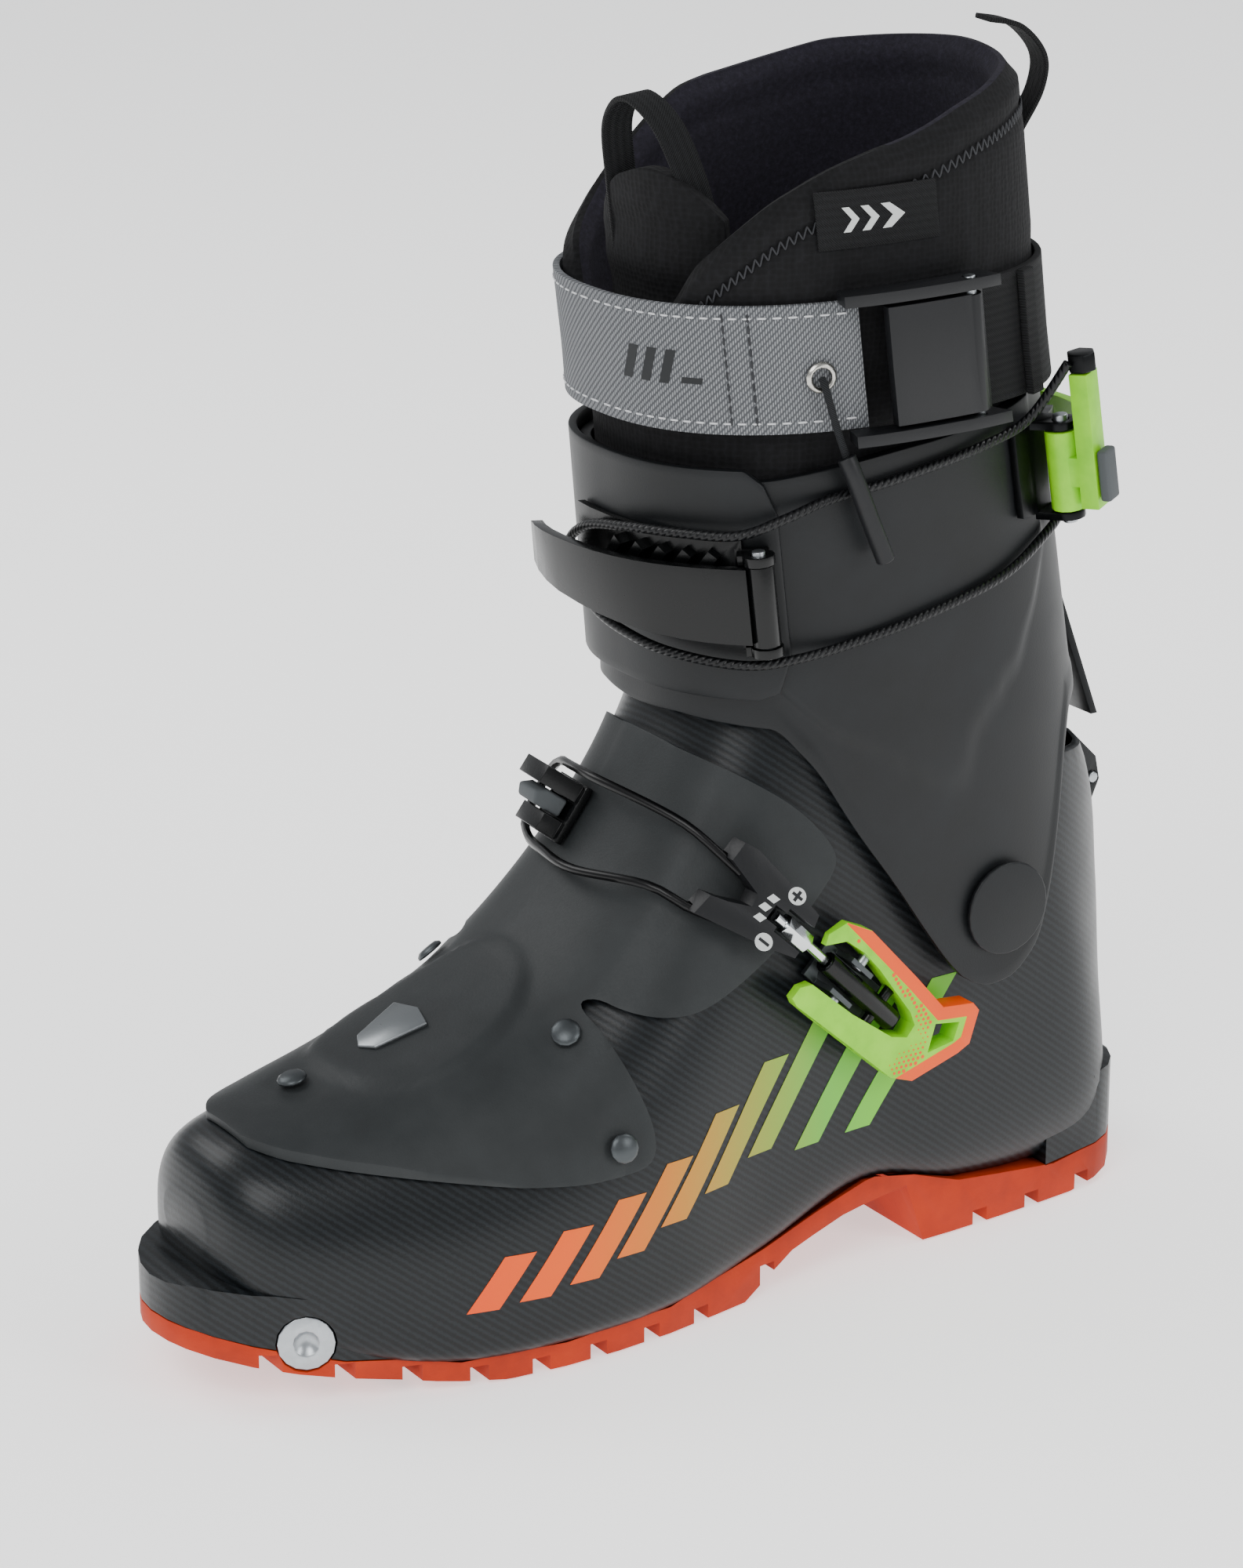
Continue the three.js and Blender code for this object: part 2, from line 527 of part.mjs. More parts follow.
// A mushroom-headed rivet or screw standing on the shell at a side-view place, on top of whatever is out millimetres.
function shellStud(name, place, out, radius, height, colour, metalness = 0, roughness = 0.5) {
  const { point, normal, along } = shellFrame(place, out + FIT_GAP);
  add(stand(point, normal, along), name, head(radius, height), colour, roughness, metalness);
}
const mirrored = ({ u, angle }) => ({ u, angle: Math.PI - angle });
const RIVETS = [["front", 3.06, 93], ["upper_outer", 4.94, 57], ["lower_outer", 5.24, 21]]; // slice, angle
for (const [name, u, angle] of RIVETS) {
  const place = { u, angle: deg(angle) };
  shellStud(`cover_rivet_${name}`, place, COVER_OUT + 0.35, 4, 1.8, 0x4a4e50, 0.3);
  if (name !== "front")
    shellStud(`cover_rivet_${name.replace("outer", "inner")}`, mirrored(place), COVER_OUT + 0.35, 4, 1.8, 0x4a4e50, 0.3);
}

// Badge: a rounded triangular plate on the cover's front mound.
const BADGE_SIDE = 17;
const badgeShape = [[-0.55, 0], [-0.4, 0.5], [0.45, 0.28], [0.6, 0], [0.45, -0.28], [-0.4, -0.5]];
const badgeFrame = shellFrame({ u: 4.02, angle: deg(91) }, COVER_OUT + 1.1);
const badge = slab(badgeShape.map(([a, b]) => [a * BADGE_SIDE, b * BADGE_SIDE]), 1.6).translate(0, 0, 0.8);
add(stand(badgeFrame.point, badgeFrame.normal, badgeFrame.along.negate()), "badge", badge, 0x8d9193, 0.35, 0.8);

// ---------------------------------------------------------------- cuff
const CUFF_SIDES = 56;
const CUFF_ROWS = 4;
function cuffRing(low, high, inner, outer, sides = CUFF_SIDES, rows = CUFF_ROWS) {
  const side = (out) => (s, t) => {
    const angle = 360 * t - 90;
    return cuffPoint(angle, low(angle) * (1 - s) + high(angle) * s, typeof out === "function" ? out(s, angle) : out);
  };
  return plate(rows, sides, side(outer), side(inner), true);
}
const cuffBody = cuffRing(cuffLow, cuffHigh, -CUFF_WALL, 0);
add(root, "cuff_shell", subtract(cuffBody, pivotHole(PIVOT_DRUM_RADIUS + RUN_GAP)), 0x24272a, 0.5);

// Ankle pivots: a drum fixed in the shell carries the cuff, under a round cover that turns with the cuff.
for (const [name, side] of [["outer", 1], ["inner", -1]]) {
  const cuffFace = cuffPoint(folded(8), PIVOT.z).x;
  const across = (geometry, x) => geometry.rotateZ(Math.PI / 2).translate(side * x, PIVOT.y, PIVOT.z);
  const shellFace = side > 0 ? 43.5 * WIDE : 42 * WIDE;
  const [inner, outer] = [shellFace - SHELL_WALL - 1, shellFace + 1.4];
  const drumEnd = cuffFace - 0.3;
  const pin = across(rod(PIVOT_PIN_RADIUS, outer - inner), (inner + outer) / 2);
  const drum = across(rod(PIVOT_DRUM_RADIUS, drumEnd - outer + 0.5), (outer - 0.5 + drumEnd) / 2);
  add(root, `pivot_drum_${name}`, join(pin, drum), 0x8f9498, 0.4, 1);
  const cover = across(rod(PIVOT_COVER_RADIUS, 1.4, 24), cuffFace + 0.7 + FIT_GAP);
  add(root, `pivot_cover_${name}`, cover, 0x202326, 0.45);
}

// The cuff's outer overlap flap, which the front rack is riveted to.
const FLAP = { from: -152, to: -36, low: 166, high: 228, thickness: 2.2 };
const FLAP_OUT = FIT_GAP + FLAP.thickness;
const flapLow = FLAP.low * TALL;
const flapHigh = FLAP.high * TALL;
add(root, "cuff_flap", cuffPlate(FLAP.from, FLAP.to, flapLow, flapHigh, FIT_GAP, FLAP_OUT, 14, 4), 0x24272a, 0.5);

// ---------------------------------------------------------------- front rack and its lever
// The rack is a plate on the flap with a row of slanted hooks along its upper and lower edges.
const RACK = { from: -100, to: -46, low: 182, high: 211, thickness: 2 };
const RACK_OUT = FLAP_OUT + FIT_GAP + RACK.thickness;
const RACK_HOOKS = 5;
const rackPlate = cuffPlate(
  RACK.from, RACK.to, RACK.low * TALL, RACK.high * TALL, FLAP_OUT + FIT_GAP, RACK_OUT, 8, 2);

// Moves a geometry modelled round its own origin to a frame on the cuff: x round the leg, y up the cuff, z outward.
function onCuff(geometry, angle, z, out, turn = 0) {
  const { point, normal, round, up } = cuffFrame(angle, z, out);
  const basis = new THREE.Matrix4().makeBasis(round, up, normal).setPosition(point);
  return geometry.rotateZ(turn).applyMatrix4(basis);
}
const HOOK = { length: 9, width: 3, height: 4, slant: deg(50) };
const hooks = [];
for (let i = 0; i < RACK_HOOKS; i++) {
  const angle = RACK.from + 16 + (i * (RACK.to - RACK.from - 26)) / (RACK_HOOKS - 1);
  for (const z of [RACK.low + 7.5, RACK.high - 7.5])
    hooks.push(onCuff(box(HOOK.length, HOOK.width, HOOK.height), angle, z * TALL, RACK_OUT + 1.4, HOOK.slant));
}
const LEVER_PIN = { angle: -41, low: 181, high: 208, out: 9, radius: 1.8 };
const leverPinFrame = cuffFrame(LEVER_PIN.angle, ((LEVER_PIN.low + LEVER_PIN.high) / 2) * TALL, LEVER_PIN.out);
function leverPin(radius, length, shift = 0) {
  const geometry = rod(radius, length).rotateX(Math.PI / 2);
  const { point, normal, round, up } = leverPinFrame;
  const basis = new THREE.Matrix4().makeBasis(round, normal.clone().negate(), up).setPosition(point);
  return geometry.translate(0, 0, shift).applyMatrix4(basis);
}
const PIN_SPAN = (LEVER_PIN.high - LEVER_PIN.low) * TALL;
const EAR = { thickness: 2.4, radius: 4.2 };
const LEVER_HEIGHT = PIN_SPAN - 2 * EAR.thickness - 2 * FIT_GAP;
const ears = [-1, 1].map((end) => leverPin(EAR.radius, EAR.thickness, (end * (PIN_SPAN - EAR.thickness)) / 2));
const earFeet = [-1, 1].map((end) => {
  const foot = box(8, EAR.thickness, LEVER_PIN.out - FLAP_OUT - FIT_GAP);
  const { point, normal, round, up } = leverPinFrame;
  const basis = new THREE.Matrix4().makeBasis(round, up, normal).setPosition(point);
  const down = -(LEVER_PIN.out - FLAP_OUT - FIT_GAP) / 2;
  return foot.translate(-1.5, (end * (PIN_SPAN - EAR.thickness)) / 2, down).applyMatrix4(basis);
});
const hingePlate = cuffPlate(
  -48, -39, LEVER_PIN.low * TALL, LEVER_PIN.high * TALL, FLAP_OUT + FIT_GAP, RACK_OUT, 2, 2);
const rackBody = join(rackPlate, ...hooks, hingePlate, ...earFeet, ...ears);
add(root, "front_rack", subtract(rackBody, leverPin(LEVER_PIN.radius + FIT_GAP, PIN_SPAN + 10)), 0x0e0f11, 0.25);
add(root, "front_lever_pin", leverPin(LEVER_PIN.radius, PIN_SPAN + 2), 0x8f9498, 0.35, 1);

const LEVER = { from: -44, to: -112, thickness: 3 };
function leverFace(extra) {
  return (s, t) => {
    const angle = LEVER.from + (LEVER.to - LEVER.from) * s;
    const middle = (194.5 + 2.5 * s) * TALL;
    const half = (LEVER_HEIGHT / 2 - 0.6) * (1 - 0.45 * s * s);
    return cuffPoint(angle, middle + half * (2 * t - 1), 12 + 3 * Math.sin(Math.PI * s * 0.7) + extra);
  };
}
const leverBlade = plate(12, 2, leverFace(0), leverFace(-LEVER.thickness));
const leverBarrel = leverPin(EAR.radius - 0.5, LEVER_HEIGHT);
const leverBody = subtract(join(leverBlade, leverBarrel), leverPin(LEVER_PIN.radius + RUN_GAP / 2, 60));
add(root, "front_lever", leverBody, 0x0e0f11, 0.3);

// ---------------------------------------------------------------- rear bracket, lever and lock
const REAR = { angle: 34, z: 217, out: 9, radius: 2, span: 27 };
const rearFrame = cuffFrame(REAR.angle, REAR.z * TALL, REAR.out);
// Rear hardware is modelled with x round the leg towards the shin, y outward and z up the pin.
const rearBasis = new THREE.Matrix4()
  .makeBasis(rearFrame.round.clone().negate(), rearFrame.normal, rearFrame.up)
  .setPosition(rearFrame.point);
const atRear = (geometry) => geometry.applyMatrix4(rearBasis);
const rearRod = (radius, length, z = 0, x = 0, y = 0) =>
  atRear(rod(radius, length).rotateX(Math.PI / 2).translate(x, y, z));
const rearBox = (sx, sy, sz, x, y, z) => atRear(box(sx, sy, sz).translate(x, y, z));

const BRACKET = { from: 24, to: 54, low: 201, high: 231, thickness: 1.8, ear: 2, stem: 8 };
const bracketPlate = cuffPlate(
  BRACKET.from, BRACKET.to, (BRACKET.low + 3.4) * TALL, (BRACKET.high - 2) * TALL, FIT_GAP, FIT_GAP + BRACKET.thickness, 6, 2);
const earReach = REAR.out - FIT_GAP - 0.5;
const earAt = (z) =>
  join(rearBox(BRACKET.stem, earReach, BRACKET.ear, 0, -earReach / 2, z), rearRod(4.2, BRACKET.ear, z));
const earHeight = REAR.span / 2 - BRACKET.ear / 2;
const bracket = join(bracketPlate, earAt(earHeight), earAt(-earHeight));
add(root, "rear_bracket", subtract(bracket, rearRod(REAR.radius + FIT_GAP, 60)), 0x101113, 0.25, 0.6);
add(root, "rear_lever_pin", rearRod(REAR.radius, REAR.span + 3), 0x8f9498, 0.35, 1);

// Lever: a knuckle on the pin between the ears, a blade round the heel side and an arm up to the cable's end.
const knuckleHeight = REAR.span - 2 * BRACKET.ear - 2 * RUN_GAP;
const BLADE = { from: 36, to: 98, low: 207.5, high: 226.5, thickness: 3.2, out: 14.6 };
const bladeSide = (extra) => (s, t) => {
  const angle = BLADE.from + (BLADE.to - BLADE.from) * s;
  const half = ((BLADE.high - BLADE.low) / 2) * (1 - 0.25 * s);
  const middle = (BLADE.low + BLADE.high) / 2;
  return cuffPoint(angle, middle * TALL + half * (2 * t - 1), BLADE.out - 4 * s + extra);
};
const blade = plate(10, 2, bladeSide(0), bladeSide(-BLADE.thickness));
const ARM = { width: 7, depth: 5, low: -10, top: 27, out: 7.8 };
const arm = join(
  rearBox(ARM.width, ARM.depth, ARM.top - ARM.low, 0, ARM.out, (ARM.top + ARM.low) / 2),
  rearBox(ARM.width, ARM.out + 1, 8, 0, ARM.out / 2, 0),
);
const rearLever = join(rearRod(4.6, knuckleHeight), blade, arm);
add(root, "rear_lever", subtract(rearLever, rearRod(REAR.radius + RUN_GAP / 2, 60)), 0xa9e45a, 0.4);
add(root, "lever_pad", rearBox(6, 3, 14, 0, ARM.out + ARM.depth / 2 + 1.5 + FIT_GAP, -1), 0x17181a, 0.8);

// Cable end: a hexagonal eye that swivels on top of the lever's arm.
const EYE = { radius: 4, height: 5 };
const eyeZ = ARM.top + EYE.height / 2 + FIT_GAP;
const eye = atRear(
  new THREE.CylinderGeometry(EYE.radius, EYE.radius, EYE.height, 6).rotateX(Math.PI / 2).translate(0, ARM.out, eyeZ));
add(root, "cable_eye", eye, 0x3a3c3f, 0.35, 0.9);

// Locking bar: hangs from a pin at the top of the cuff's spine, down to a catch on the shell's spine.
const LOCK = { out: 3.2, width: 12, thickness: 2.2, low: 128, high: 196, pinOut: 4.6, pinRadius: 1.3, lean: 0.38 };
const SPINE_SLOT = 176; // top of the slot in the cuff's heel side
const lockPinPoint = cuffPoint(90, LOCK.high * TALL, LOCK.pinOut);
const lockRod = (radius, length) =>
  rod(radius, length, 12).rotateZ(Math.PI / 2).translate(0, lockPinPoint.y, lockPinPoint.z);
const lockSide = (extra) => (s, t) => {
  const z = (LOCK.high + (LOCK.low - LOCK.high) * s) * TALL;
  const drop = Math.max(0, SPINE_SLOT * TALL - z);
  const y = cuffPoint(90, Math.max(z, SPINE_SLOT * TALL), LOCK.out + extra).y;
  return V(LOCK.width * (t - 0.5), y + drop * LOCK.lean, z);
};
const lockBody = join(plate(7, 1, lockSide(LOCK.thickness), lockSide(0)), lockRod(2.3, LOCK.width));
add(root, "lock_bar", subtract(lockBody, lockRod(LOCK.pinRadius + RUN_GAP / 2, 40)), 0x1a1c1e, 0.35, 0.7);
const LOCK_EAR = { width: 2, depth: 7 };
const lockEars = [-1, 1].map((side) => {
  const x = side * (LOCK.width / 2 + FIT_GAP + LOCK_EAR.width / 2);
  const y = lockPinPoint.y + LOCK.pinRadius + 1.2 - (LOCK.pinOut + LOCK.pinRadius + 1.2 - FIT_GAP) / 2;
  return box(LOCK_EAR.width, LOCK.pinOut + LOCK.pinRadius + 1.2 - FIT_GAP, LOCK_EAR.depth).translate(x, y, lockPinPoint.z);
});
const lockFoot = box(LOCK.width + 2 * FIT_GAP + 2 * LOCK_EAR.width, 0.8, LOCK_EAR.depth).translate(
  0, lockPinPoint.y - LOCK.pinOut + 2 * FIT_GAP + 0.4, lockPinPoint.z);
add(root, "lock_bracket", subtract(join(lockFoot, ...lockEars), lockRod(LOCK.pinRadius + FIT_GAP, 40)), 0x2a2c2f, 0.4, 0.6);
add(root, "lock_bar_pin", lockRod(LOCK.pinRadius, LOCK.width + 2 * LOCK_EAR.width + 1.6), 0xb9bec2, 0.3, 1);

// Catch: two fins on the shell's spine with a cross pin between them.
const CATCH = { width: 16, fin: 3, pinRadius: 1.6 };
const CATCH_FIN = [[139, 106], [149, 103.5], [151.5, 109], [150, 116], [140, 126], [134, 126]];
const fins = [-1, 1].map((side) =>
  sideSlab(stretched(CATCH_FIN), CATCH.fin).translate((side * (CATCH.width - CATCH.fin)) / 2, 0, 0));
const catchWeb = sideSlab(stretched([[139, 106], [146.5, 104.5], [145, 116], [138, 124], [134, 124]]), CATCH.width);
const catchPin = (radius, length) => rod(radius, length).rotateZ(Math.PI / 2).translate(0, 148.8 * LONG, 110 * TALL);
const catchBody = subtract(join(catchWeb, ...fins), shellLoft(FIT_GAP), catchPin(CATCH.pinRadius + FIT_GAP, 40));
add(root, "lock_catch", catchBody, 0x202326, 0.4);
add(root, "lock_catch_pin", catchPin(CATCH.pinRadius, CATCH.width + 1.6), 0xb9bec2, 0.3, 1);

// ---------------------------------------------------------------- upper cable
// From the eye on the rear lever, round the cuff to the front rack's hooks and back under the bracket to the heel.
const CABLE_LIFT = CABLE_DIAMETER / 2 + FIT_GAP;
const eyeAt = V(EYE.radius + 1.2, ARM.out - 0.5, eyeZ).applyMatrix4(rearBasis);
const UPPER_STRAND = [[26, 232, 3.5], [12, 227, 0.6], [-6, 222.5, 0], [-22, 219.5, 0]]; // angle, height, extra lift
const RACK_STRAND = [[-34, 216, 3.4], [-46, 212.5, 6.5], [-62, 212, 6], [-78, 211, 6], [-92, 207, 6], [-103, 197, 5.6],
  [-92, 185, 6], [-78, 180.5, 6], [-62, 178.5, 6], [-46, 177.5, 6], [-34, 178.5, 3.4]];
const LOWER_STRAND = [[-20, 180.5, 0], [-4, 184.5, 0], [14, 190.5, 0], [32, 197, 0], [50, 200.5, 0], [66, 205, 0]];
const onCuffPath = (lift) => ([angle, z, extra]) => cuffPoint(angle, z * TALL, lift + extra);
const upperCable = tube(
  [eyeAt, ...[...UPPER_STRAND, ...RACK_STRAND, ...LOWER_STRAND].map(onCuffPath(CABLE_LIFT))],
  CABLE_DIAMETER, 6, 60);
add(root, "upper_cable", upperCable, 0x111214, 0.45);
const anchorPoint = cuffPoint(70, 205.5 * TALL, 2.6);
add(root, "cable_anchor", new THREE.SphereGeometry(2.4, 10, 8).translate(anchorPoint.x, anchorPoint.y, anchorPoint.z),
  0x3a3c3f, 0.4, 0.9);

// ---------------------------------------------------------------- power strap
const STRAP = { low: 240, high: 240 + STRAP_WIDTH - 5, out: 0.8, greyEnd: -11, blackStart: 12, join: 112 };
const strapLow = (STRAP.low - 2.5) * TALL;
const strapHigh = STRAP.high * TALL;
const strapPlate = (from, to, out, columns) => cuffPlate(from, to, strapLow, strapHigh, out, out + WEBBING, columns, 2);
add(root, "grey_strap", strapPlate(STRAP.greyEnd, -(360 - STRAP.join - 1), STRAP.out, 34), 0x8b8d90, 0.8);
add(root, "black_strap", strapPlate(STRAP.blackStart, STRAP.join, STRAP.out, 16), 0x17181a, 0.8);
const KEEPER = { from: 30, to: 36 };
add(root, "strap_keeper", strapPlate(KEEPER.from, KEEPER.to, STRAP.out + WEBBING + FIT_GAP, 2), 0x1a1b1d, 0.8);

// Cam buckle: a moulded frame with a flange over each edge of the webbing, and a plate that swings on a cross pin.
const BUCKLE_FROM = -16;
const BUCKLE_TO = 15;
const FRAME_FLANGE = 3;
const frameIn = STRAP.out + WEBBING + FIT_GAP;
const frameBar = (low, high, out, from = BUCKLE_FROM, to = BUCKLE_TO) =>
  cuffPlate(from, to, low, high, frameIn, out, 6, 1);
const FRAME_OUT = frameIn + 7;
const frameBody = join(
  frameBar(strapLow - FRAME_FLANGE, strapLow, FRAME_OUT),
  frameBar(strapHigh, strapHigh + FRAME_FLANGE, FRAME_OUT),
  frameBar(strapLow - 0.5, strapHigh + 0.5, frameIn + 1, -3, BUCKLE_TO),
);
const CAM = { angle: 9, out: frameIn + 4.2, radius: 1.6, from: -7, thickness: 3 };
const camFrame = cuffFrame(CAM.angle, (strapLow + strapHigh) / 2, CAM.out);
function camRod(radius, length) {
  const { point, normal, round, up } = camFrame;
  const basis = new THREE.Matrix4().makeBasis(round, normal.clone().negate(), up).setPosition(point);
  return rod(radius, length).rotateX(Math.PI / 2).applyMatrix4(basis);
}
const strapSpan = strapHigh - strapLow;
add(root, "strap_buckle_frame", subtract(frameBody, camRod(CAM.radius + FIT_GAP, 80)), 0x151618, 0.45);
add(root, "strap_buckle_pin", camRod(CAM.radius, strapSpan + 2 * FRAME_FLANGE + 1), 0x8f9498, 0.35, 1);
const camOut = CAM.out + 1.2;
const camPlate = cuffPlate(
  CAM.from, CAM.angle, strapLow + 1.2, strapHigh - 1.2, camOut - CAM.thickness + 1, camOut + 1, 5, 2);
add(
  root, "strap_cam",
  subtract(join(camPlate, camRod(2.8, strapSpan - 2.4)), camRod(CAM.radius + RUN_GAP / 2, 80)), 0x141517, 0.45);

// ---------------------------------------------------------------- eyelet and release cord
const EYELET = { angle: -21.6, z: 252, radius: 4.2, hole: 2.6 };
const strapFace = STRAP.out + WEBBING;
const eyeletRing = [
  [EYELET.hole, 0], [EYELET.radius, 0], [EYELET.radius, 0.5], [3.4, 1.2], [EYELET.hole, 0.9], [EYELET.hole, 0],
].map(([r, h]) => new THREE.Vector2(r, h));
add(
  root, "strap_eyelet",
  onCuff(new THREE.LatheGeometry(eyeletRing, 14).rotateX(Math.PI / 2), EYELET.angle, EYELET.z * TALL, strapFace + FIT_GAP),
  0x9a9da0, 0.3, 1);

const CORD_DIAMETER = 2;
const CORD_ROUTE = [[-21.6, 252, 4], [-21.2, 250, 5.4], [-20.6, 246, 5.8], [-19.6, 240, 5.4], [-18.6, 235, 4.9],
  [-17.8, 231.5, 4.6]]; // angle, height, distance from the cuff
const TUBE_ROUTE = [[-17.8, 231, 4.6], [-16.6, 226, 5.6], [-14, 214, 6], [-11.5, 203, 6]];
const routed = (route) => route.map(([angle, z, out]) => cuffPoint(angle, z * TALL, out));
add(root, "release_cord", tube(routed(CORD_ROUTE), CORD_DIAMETER, 8, 10), 0x151618, 0.8);
const PULL_TUBE = 5;
const pullTube = tube(routed(TUBE_ROUTE), PULL_TUBE, 10, 8);
add(root, "pull_tube", subtract(pullTube, tube(routed(CORD_ROUTE), CORD_DIAMETER + 2 * FIT_GAP, 8, 10)), 0x17181a, 0.5);

// ---------------------------------------------------------------- liner shaft, tongue and loops
const LINER_RIM = [
  [-180, 311], [-166, 300], [-156, 293], [-140, 284], [-120, 276], [-108, 264], [-70, 264], [-60, 273], [-56, 279],
  [-44, 287], [-30, 296], [-15, 303], [0, 308], [20, 315], [45, 320], [90, 323], [143, 319], [180, 311],
];
const linerRim = (angle) => lookUp(LINER_RIM, ((angle + 540) % 360) - 180) * TALL;
const LINER_BOTTOM = 158 * TALL;
const LINER_SPREAD = [[236, -CUFF_WALL - 0.8], [262, 0.1], [340, 0.1]]; // how far out the shaft stands at each height
const linerOut = (s, angle) => {
  const z = LINER_BOTTOM * (1 - s) + linerRim(angle) * s;
  return lookUp(LINER_SPREAD, z / TALL);
};
const linerInner = (s, angle) => linerOut(s, angle) - LINER_WALL;
const shaftSkin = cuffRing(() => LINER_BOTTOM, linerRim, linerInner, linerOut, 36, 6);
const shaftArc = slab(arcOutline(SHAFT_ARC, 0, 360), 160 * WIDE).applyMatrix4(
  new THREE.Matrix4().makeBasis(V(0, 1, 0), V(0, 0, 1), V(1, 0, 0)));
add(root, "liner_shaft", subtract(shaftSkin, shaftArc), 0x17171b, 0.9);

const TONGUE = { from: -112, to: -46, low: 222, high: 302, out: -LINER_WALL - 1.2, thickness: 5 };
const tongueOut = TONGUE.out - 3;
const tongueTop = (angle) => (TONGUE.high - 0.014 * (angle + 76) ** 2) * TALL;
add(
  root, "tongue",
  cuffPlate(TONGUE.from, TONGUE.to, TONGUE.low * TALL, tongueTop, tongueOut - TONGUE.thickness, tongueOut, 9, 4),
  0x1b1b20, 0.9);

// Webbing loop: a flat band along a hand-placed arch, its width lying along the given direction.
const LOOP_WIDTH = 8;
const LOOP_THICKNESS = 1.4;
function webbingLoop(points, acrossDirection, steps) {
  const curve = new THREE.CatmullRomCurve3(points);
  const across = acrossDirection.clone().normalize().multiplyScalar(LOOP_WIDTH / 2);
  const face = (offset) => (s, t) => {
    const p = curve.getPoint(s);
    const normal = curve.getTangent(s).cross(across).normalize().multiplyScalar(offset);
    return p.addScaledVector(across, 2 * t - 1).add(normal);
  };
  return plate(steps, 1, face(LOOP_THICKNESS / 2), face(-LOOP_THICKNESS / 2));
}
const tongueInner = (angle, z, out = 0) => cuffPoint(angle, z * TALL, TONGUE.out + 1.6 + out);
add(
  root, "tongue_loop",
  webbingLoop(
    [tongueInner(-98, 279), tongueInner(-98, 296), tongueInner(-93, 312, 1), tongueInner(-82, 320, 1.5),
      tongueInner(-68, 314, 1), tongueInner(-60, 300), tongueInner(-56, 286)],
    V(0.35, 1, 0.2), 18),
  0x141416, 0.85);
const heelLoop = (z, out) => cuffPoint(82, z * TALL, out);
add(
  root, "heel_loop",
  webbingLoop(
    [heelLoop(296, 1.3), heelLoop(300, 4), heelLoop(310, 10.5), heelLoop(319, 12), heelLoop(327, 6), heelLoop(329.5, -3)],
    V(1, -0.12, 0), 14),
  0x141416, 0.85);
const PATCH = { from: -19, to: 7, low: 284, high: 299, thickness: 0.8 };
add(
  root, "liner_patch",
  cuffPlate(PATCH.from, PATCH.to, PATCH.low * TALL, PATCH.high * TALL, 0.5, 0.5 + PATCH.thickness, 5, 1),
  0x202226, 0.8);

// ---------------------------------------------------------------- instep rack
// A base with a tall post towards the ankle and a low one towards the toe; the cable's loop passes round both.
const INSTEP_RACK = { slice: 6.2, angle: 104, length: 17, width: 19, thickness: 2, lift: 1.6 };
const rackPlace = shellFrame({ u: INSTEP_RACK.slice, angle: deg(INSTEP_RACK.angle) }, COVER_OUT + INSTEP_RACK.lift);
const instepRack = stand(rackPlace.point, rackPlace.normal, rackPlace.along);
const RACK_POSTS = [[5.6, 5, 14], [-5.6, 5, 8]]; // place along the base, depth and height
const posts = RACK_POSTS.map(([x, depth, height]) => box(depth, 15, height).translate(x, 0, height / 2));
const instepBase = box(INSTEP_RACK.length, INSTEP_RACK.width, INSTEP_RACK.thickness);
add(instepRack, "instep_rack", join(instepBase.translate(0, 0, INSTEP_RACK.thickness / 2), ...posts), 0x0e0f11, 0.25);
const PAD = [[2.6, 3], [2.6, 11.5], [-0.5, 13], [-2.6, 10], [-2.6, 3]];
const rackPad = sideSlab(PAD, 12).rotateZ(Math.PI / 2);
add(instepRack, "instep_rack_pad", rackPad, 0x55585a, 0.7);

// ---------------------------------------------------------------- lower buckle
// The buckle's own frame: x along the barrel towards the heel and down, y towards the cuff, z out from the shell.
const BUCKLE = { y: 33.5, z: 87.5, lift: 7.9 };
const shellFaceX = shellPoint(8.1, deg(6)).x;
const BUCKLE_X = shellFaceX + BUCKLE.lift; // the barrel's axis
const C45 = Math.SQRT1_2;
const buckleBasis = new THREE.Matrix4()
  .makeBasis(V(0, C45, -C45), V(0, C45, C45), V(1, 0, 0))
  .setPosition(V(BUCKLE_X, BUCKLE.y * LONG, BUCKLE.z * TALL));
const atBuckle = (geometry) => geometry.applyMatrix4(buckleBasis);
const crossRod = (radius, length, x, y = 0) => atBuckle(rod(radius, length, 12).translate(x, y, 0));
const alongRod = (radius, from, to, sides = 14) =>
  atBuckle(rod(radius, to - from, sides).rotateZ(-Math.PI / 2).translate((from + to) / 2, 0, 0));

const HINGE_X = -1; // the lever's hinge on the base
const TRUNNION_X = 12.5; // the barrel's hinge on the lever
const BASE_EAR = { inner: 4.1, thickness: 1.5, length: 9, height: 8.8, rise: 1.2 };
const earFace = BASE_EAR.inner + BASE_EAR.thickness;
const baseFloor = atBuckle(box(24, 2 * earFace, 1.5).translate(2, 0, BASE_EAR.rise + 0.75 - BUCKLE.lift));
const baseEars = [-1, 1].map((side) => {
  const y = side * (BASE_EAR.inner + BASE_EAR.thickness / 2);
  const z = BASE_EAR.rise + BASE_EAR.height / 2 - BUCKLE.lift;
  return atBuckle(box(BASE_EAR.length, BASE_EAR.thickness, BASE_EAR.height).translate(HINGE_X, y, z));
});
const PIN = { radius: 1.5, inner: 3.9, outer: 13.2 };
const hingeHole = crossRod(PIN.radius + FIT_GAP, 40, HINGE_X);
add(root, "buckle_base", subtract(join(baseFloor, ...baseEars), hingeHole), 0x101113, 0.3, 0.6);
for (const [name, side] of [["upper", 1], ["lower", -1]]) {
  const pin = crossRod(PIN.radius, PIN.outer - PIN.inner, HINGE_X, (side * (PIN.inner + PIN.outer)) / 2);
  add(root, `buckle_pin_${name}`, pin, 0x9a9da0, 0.3, 1);
}

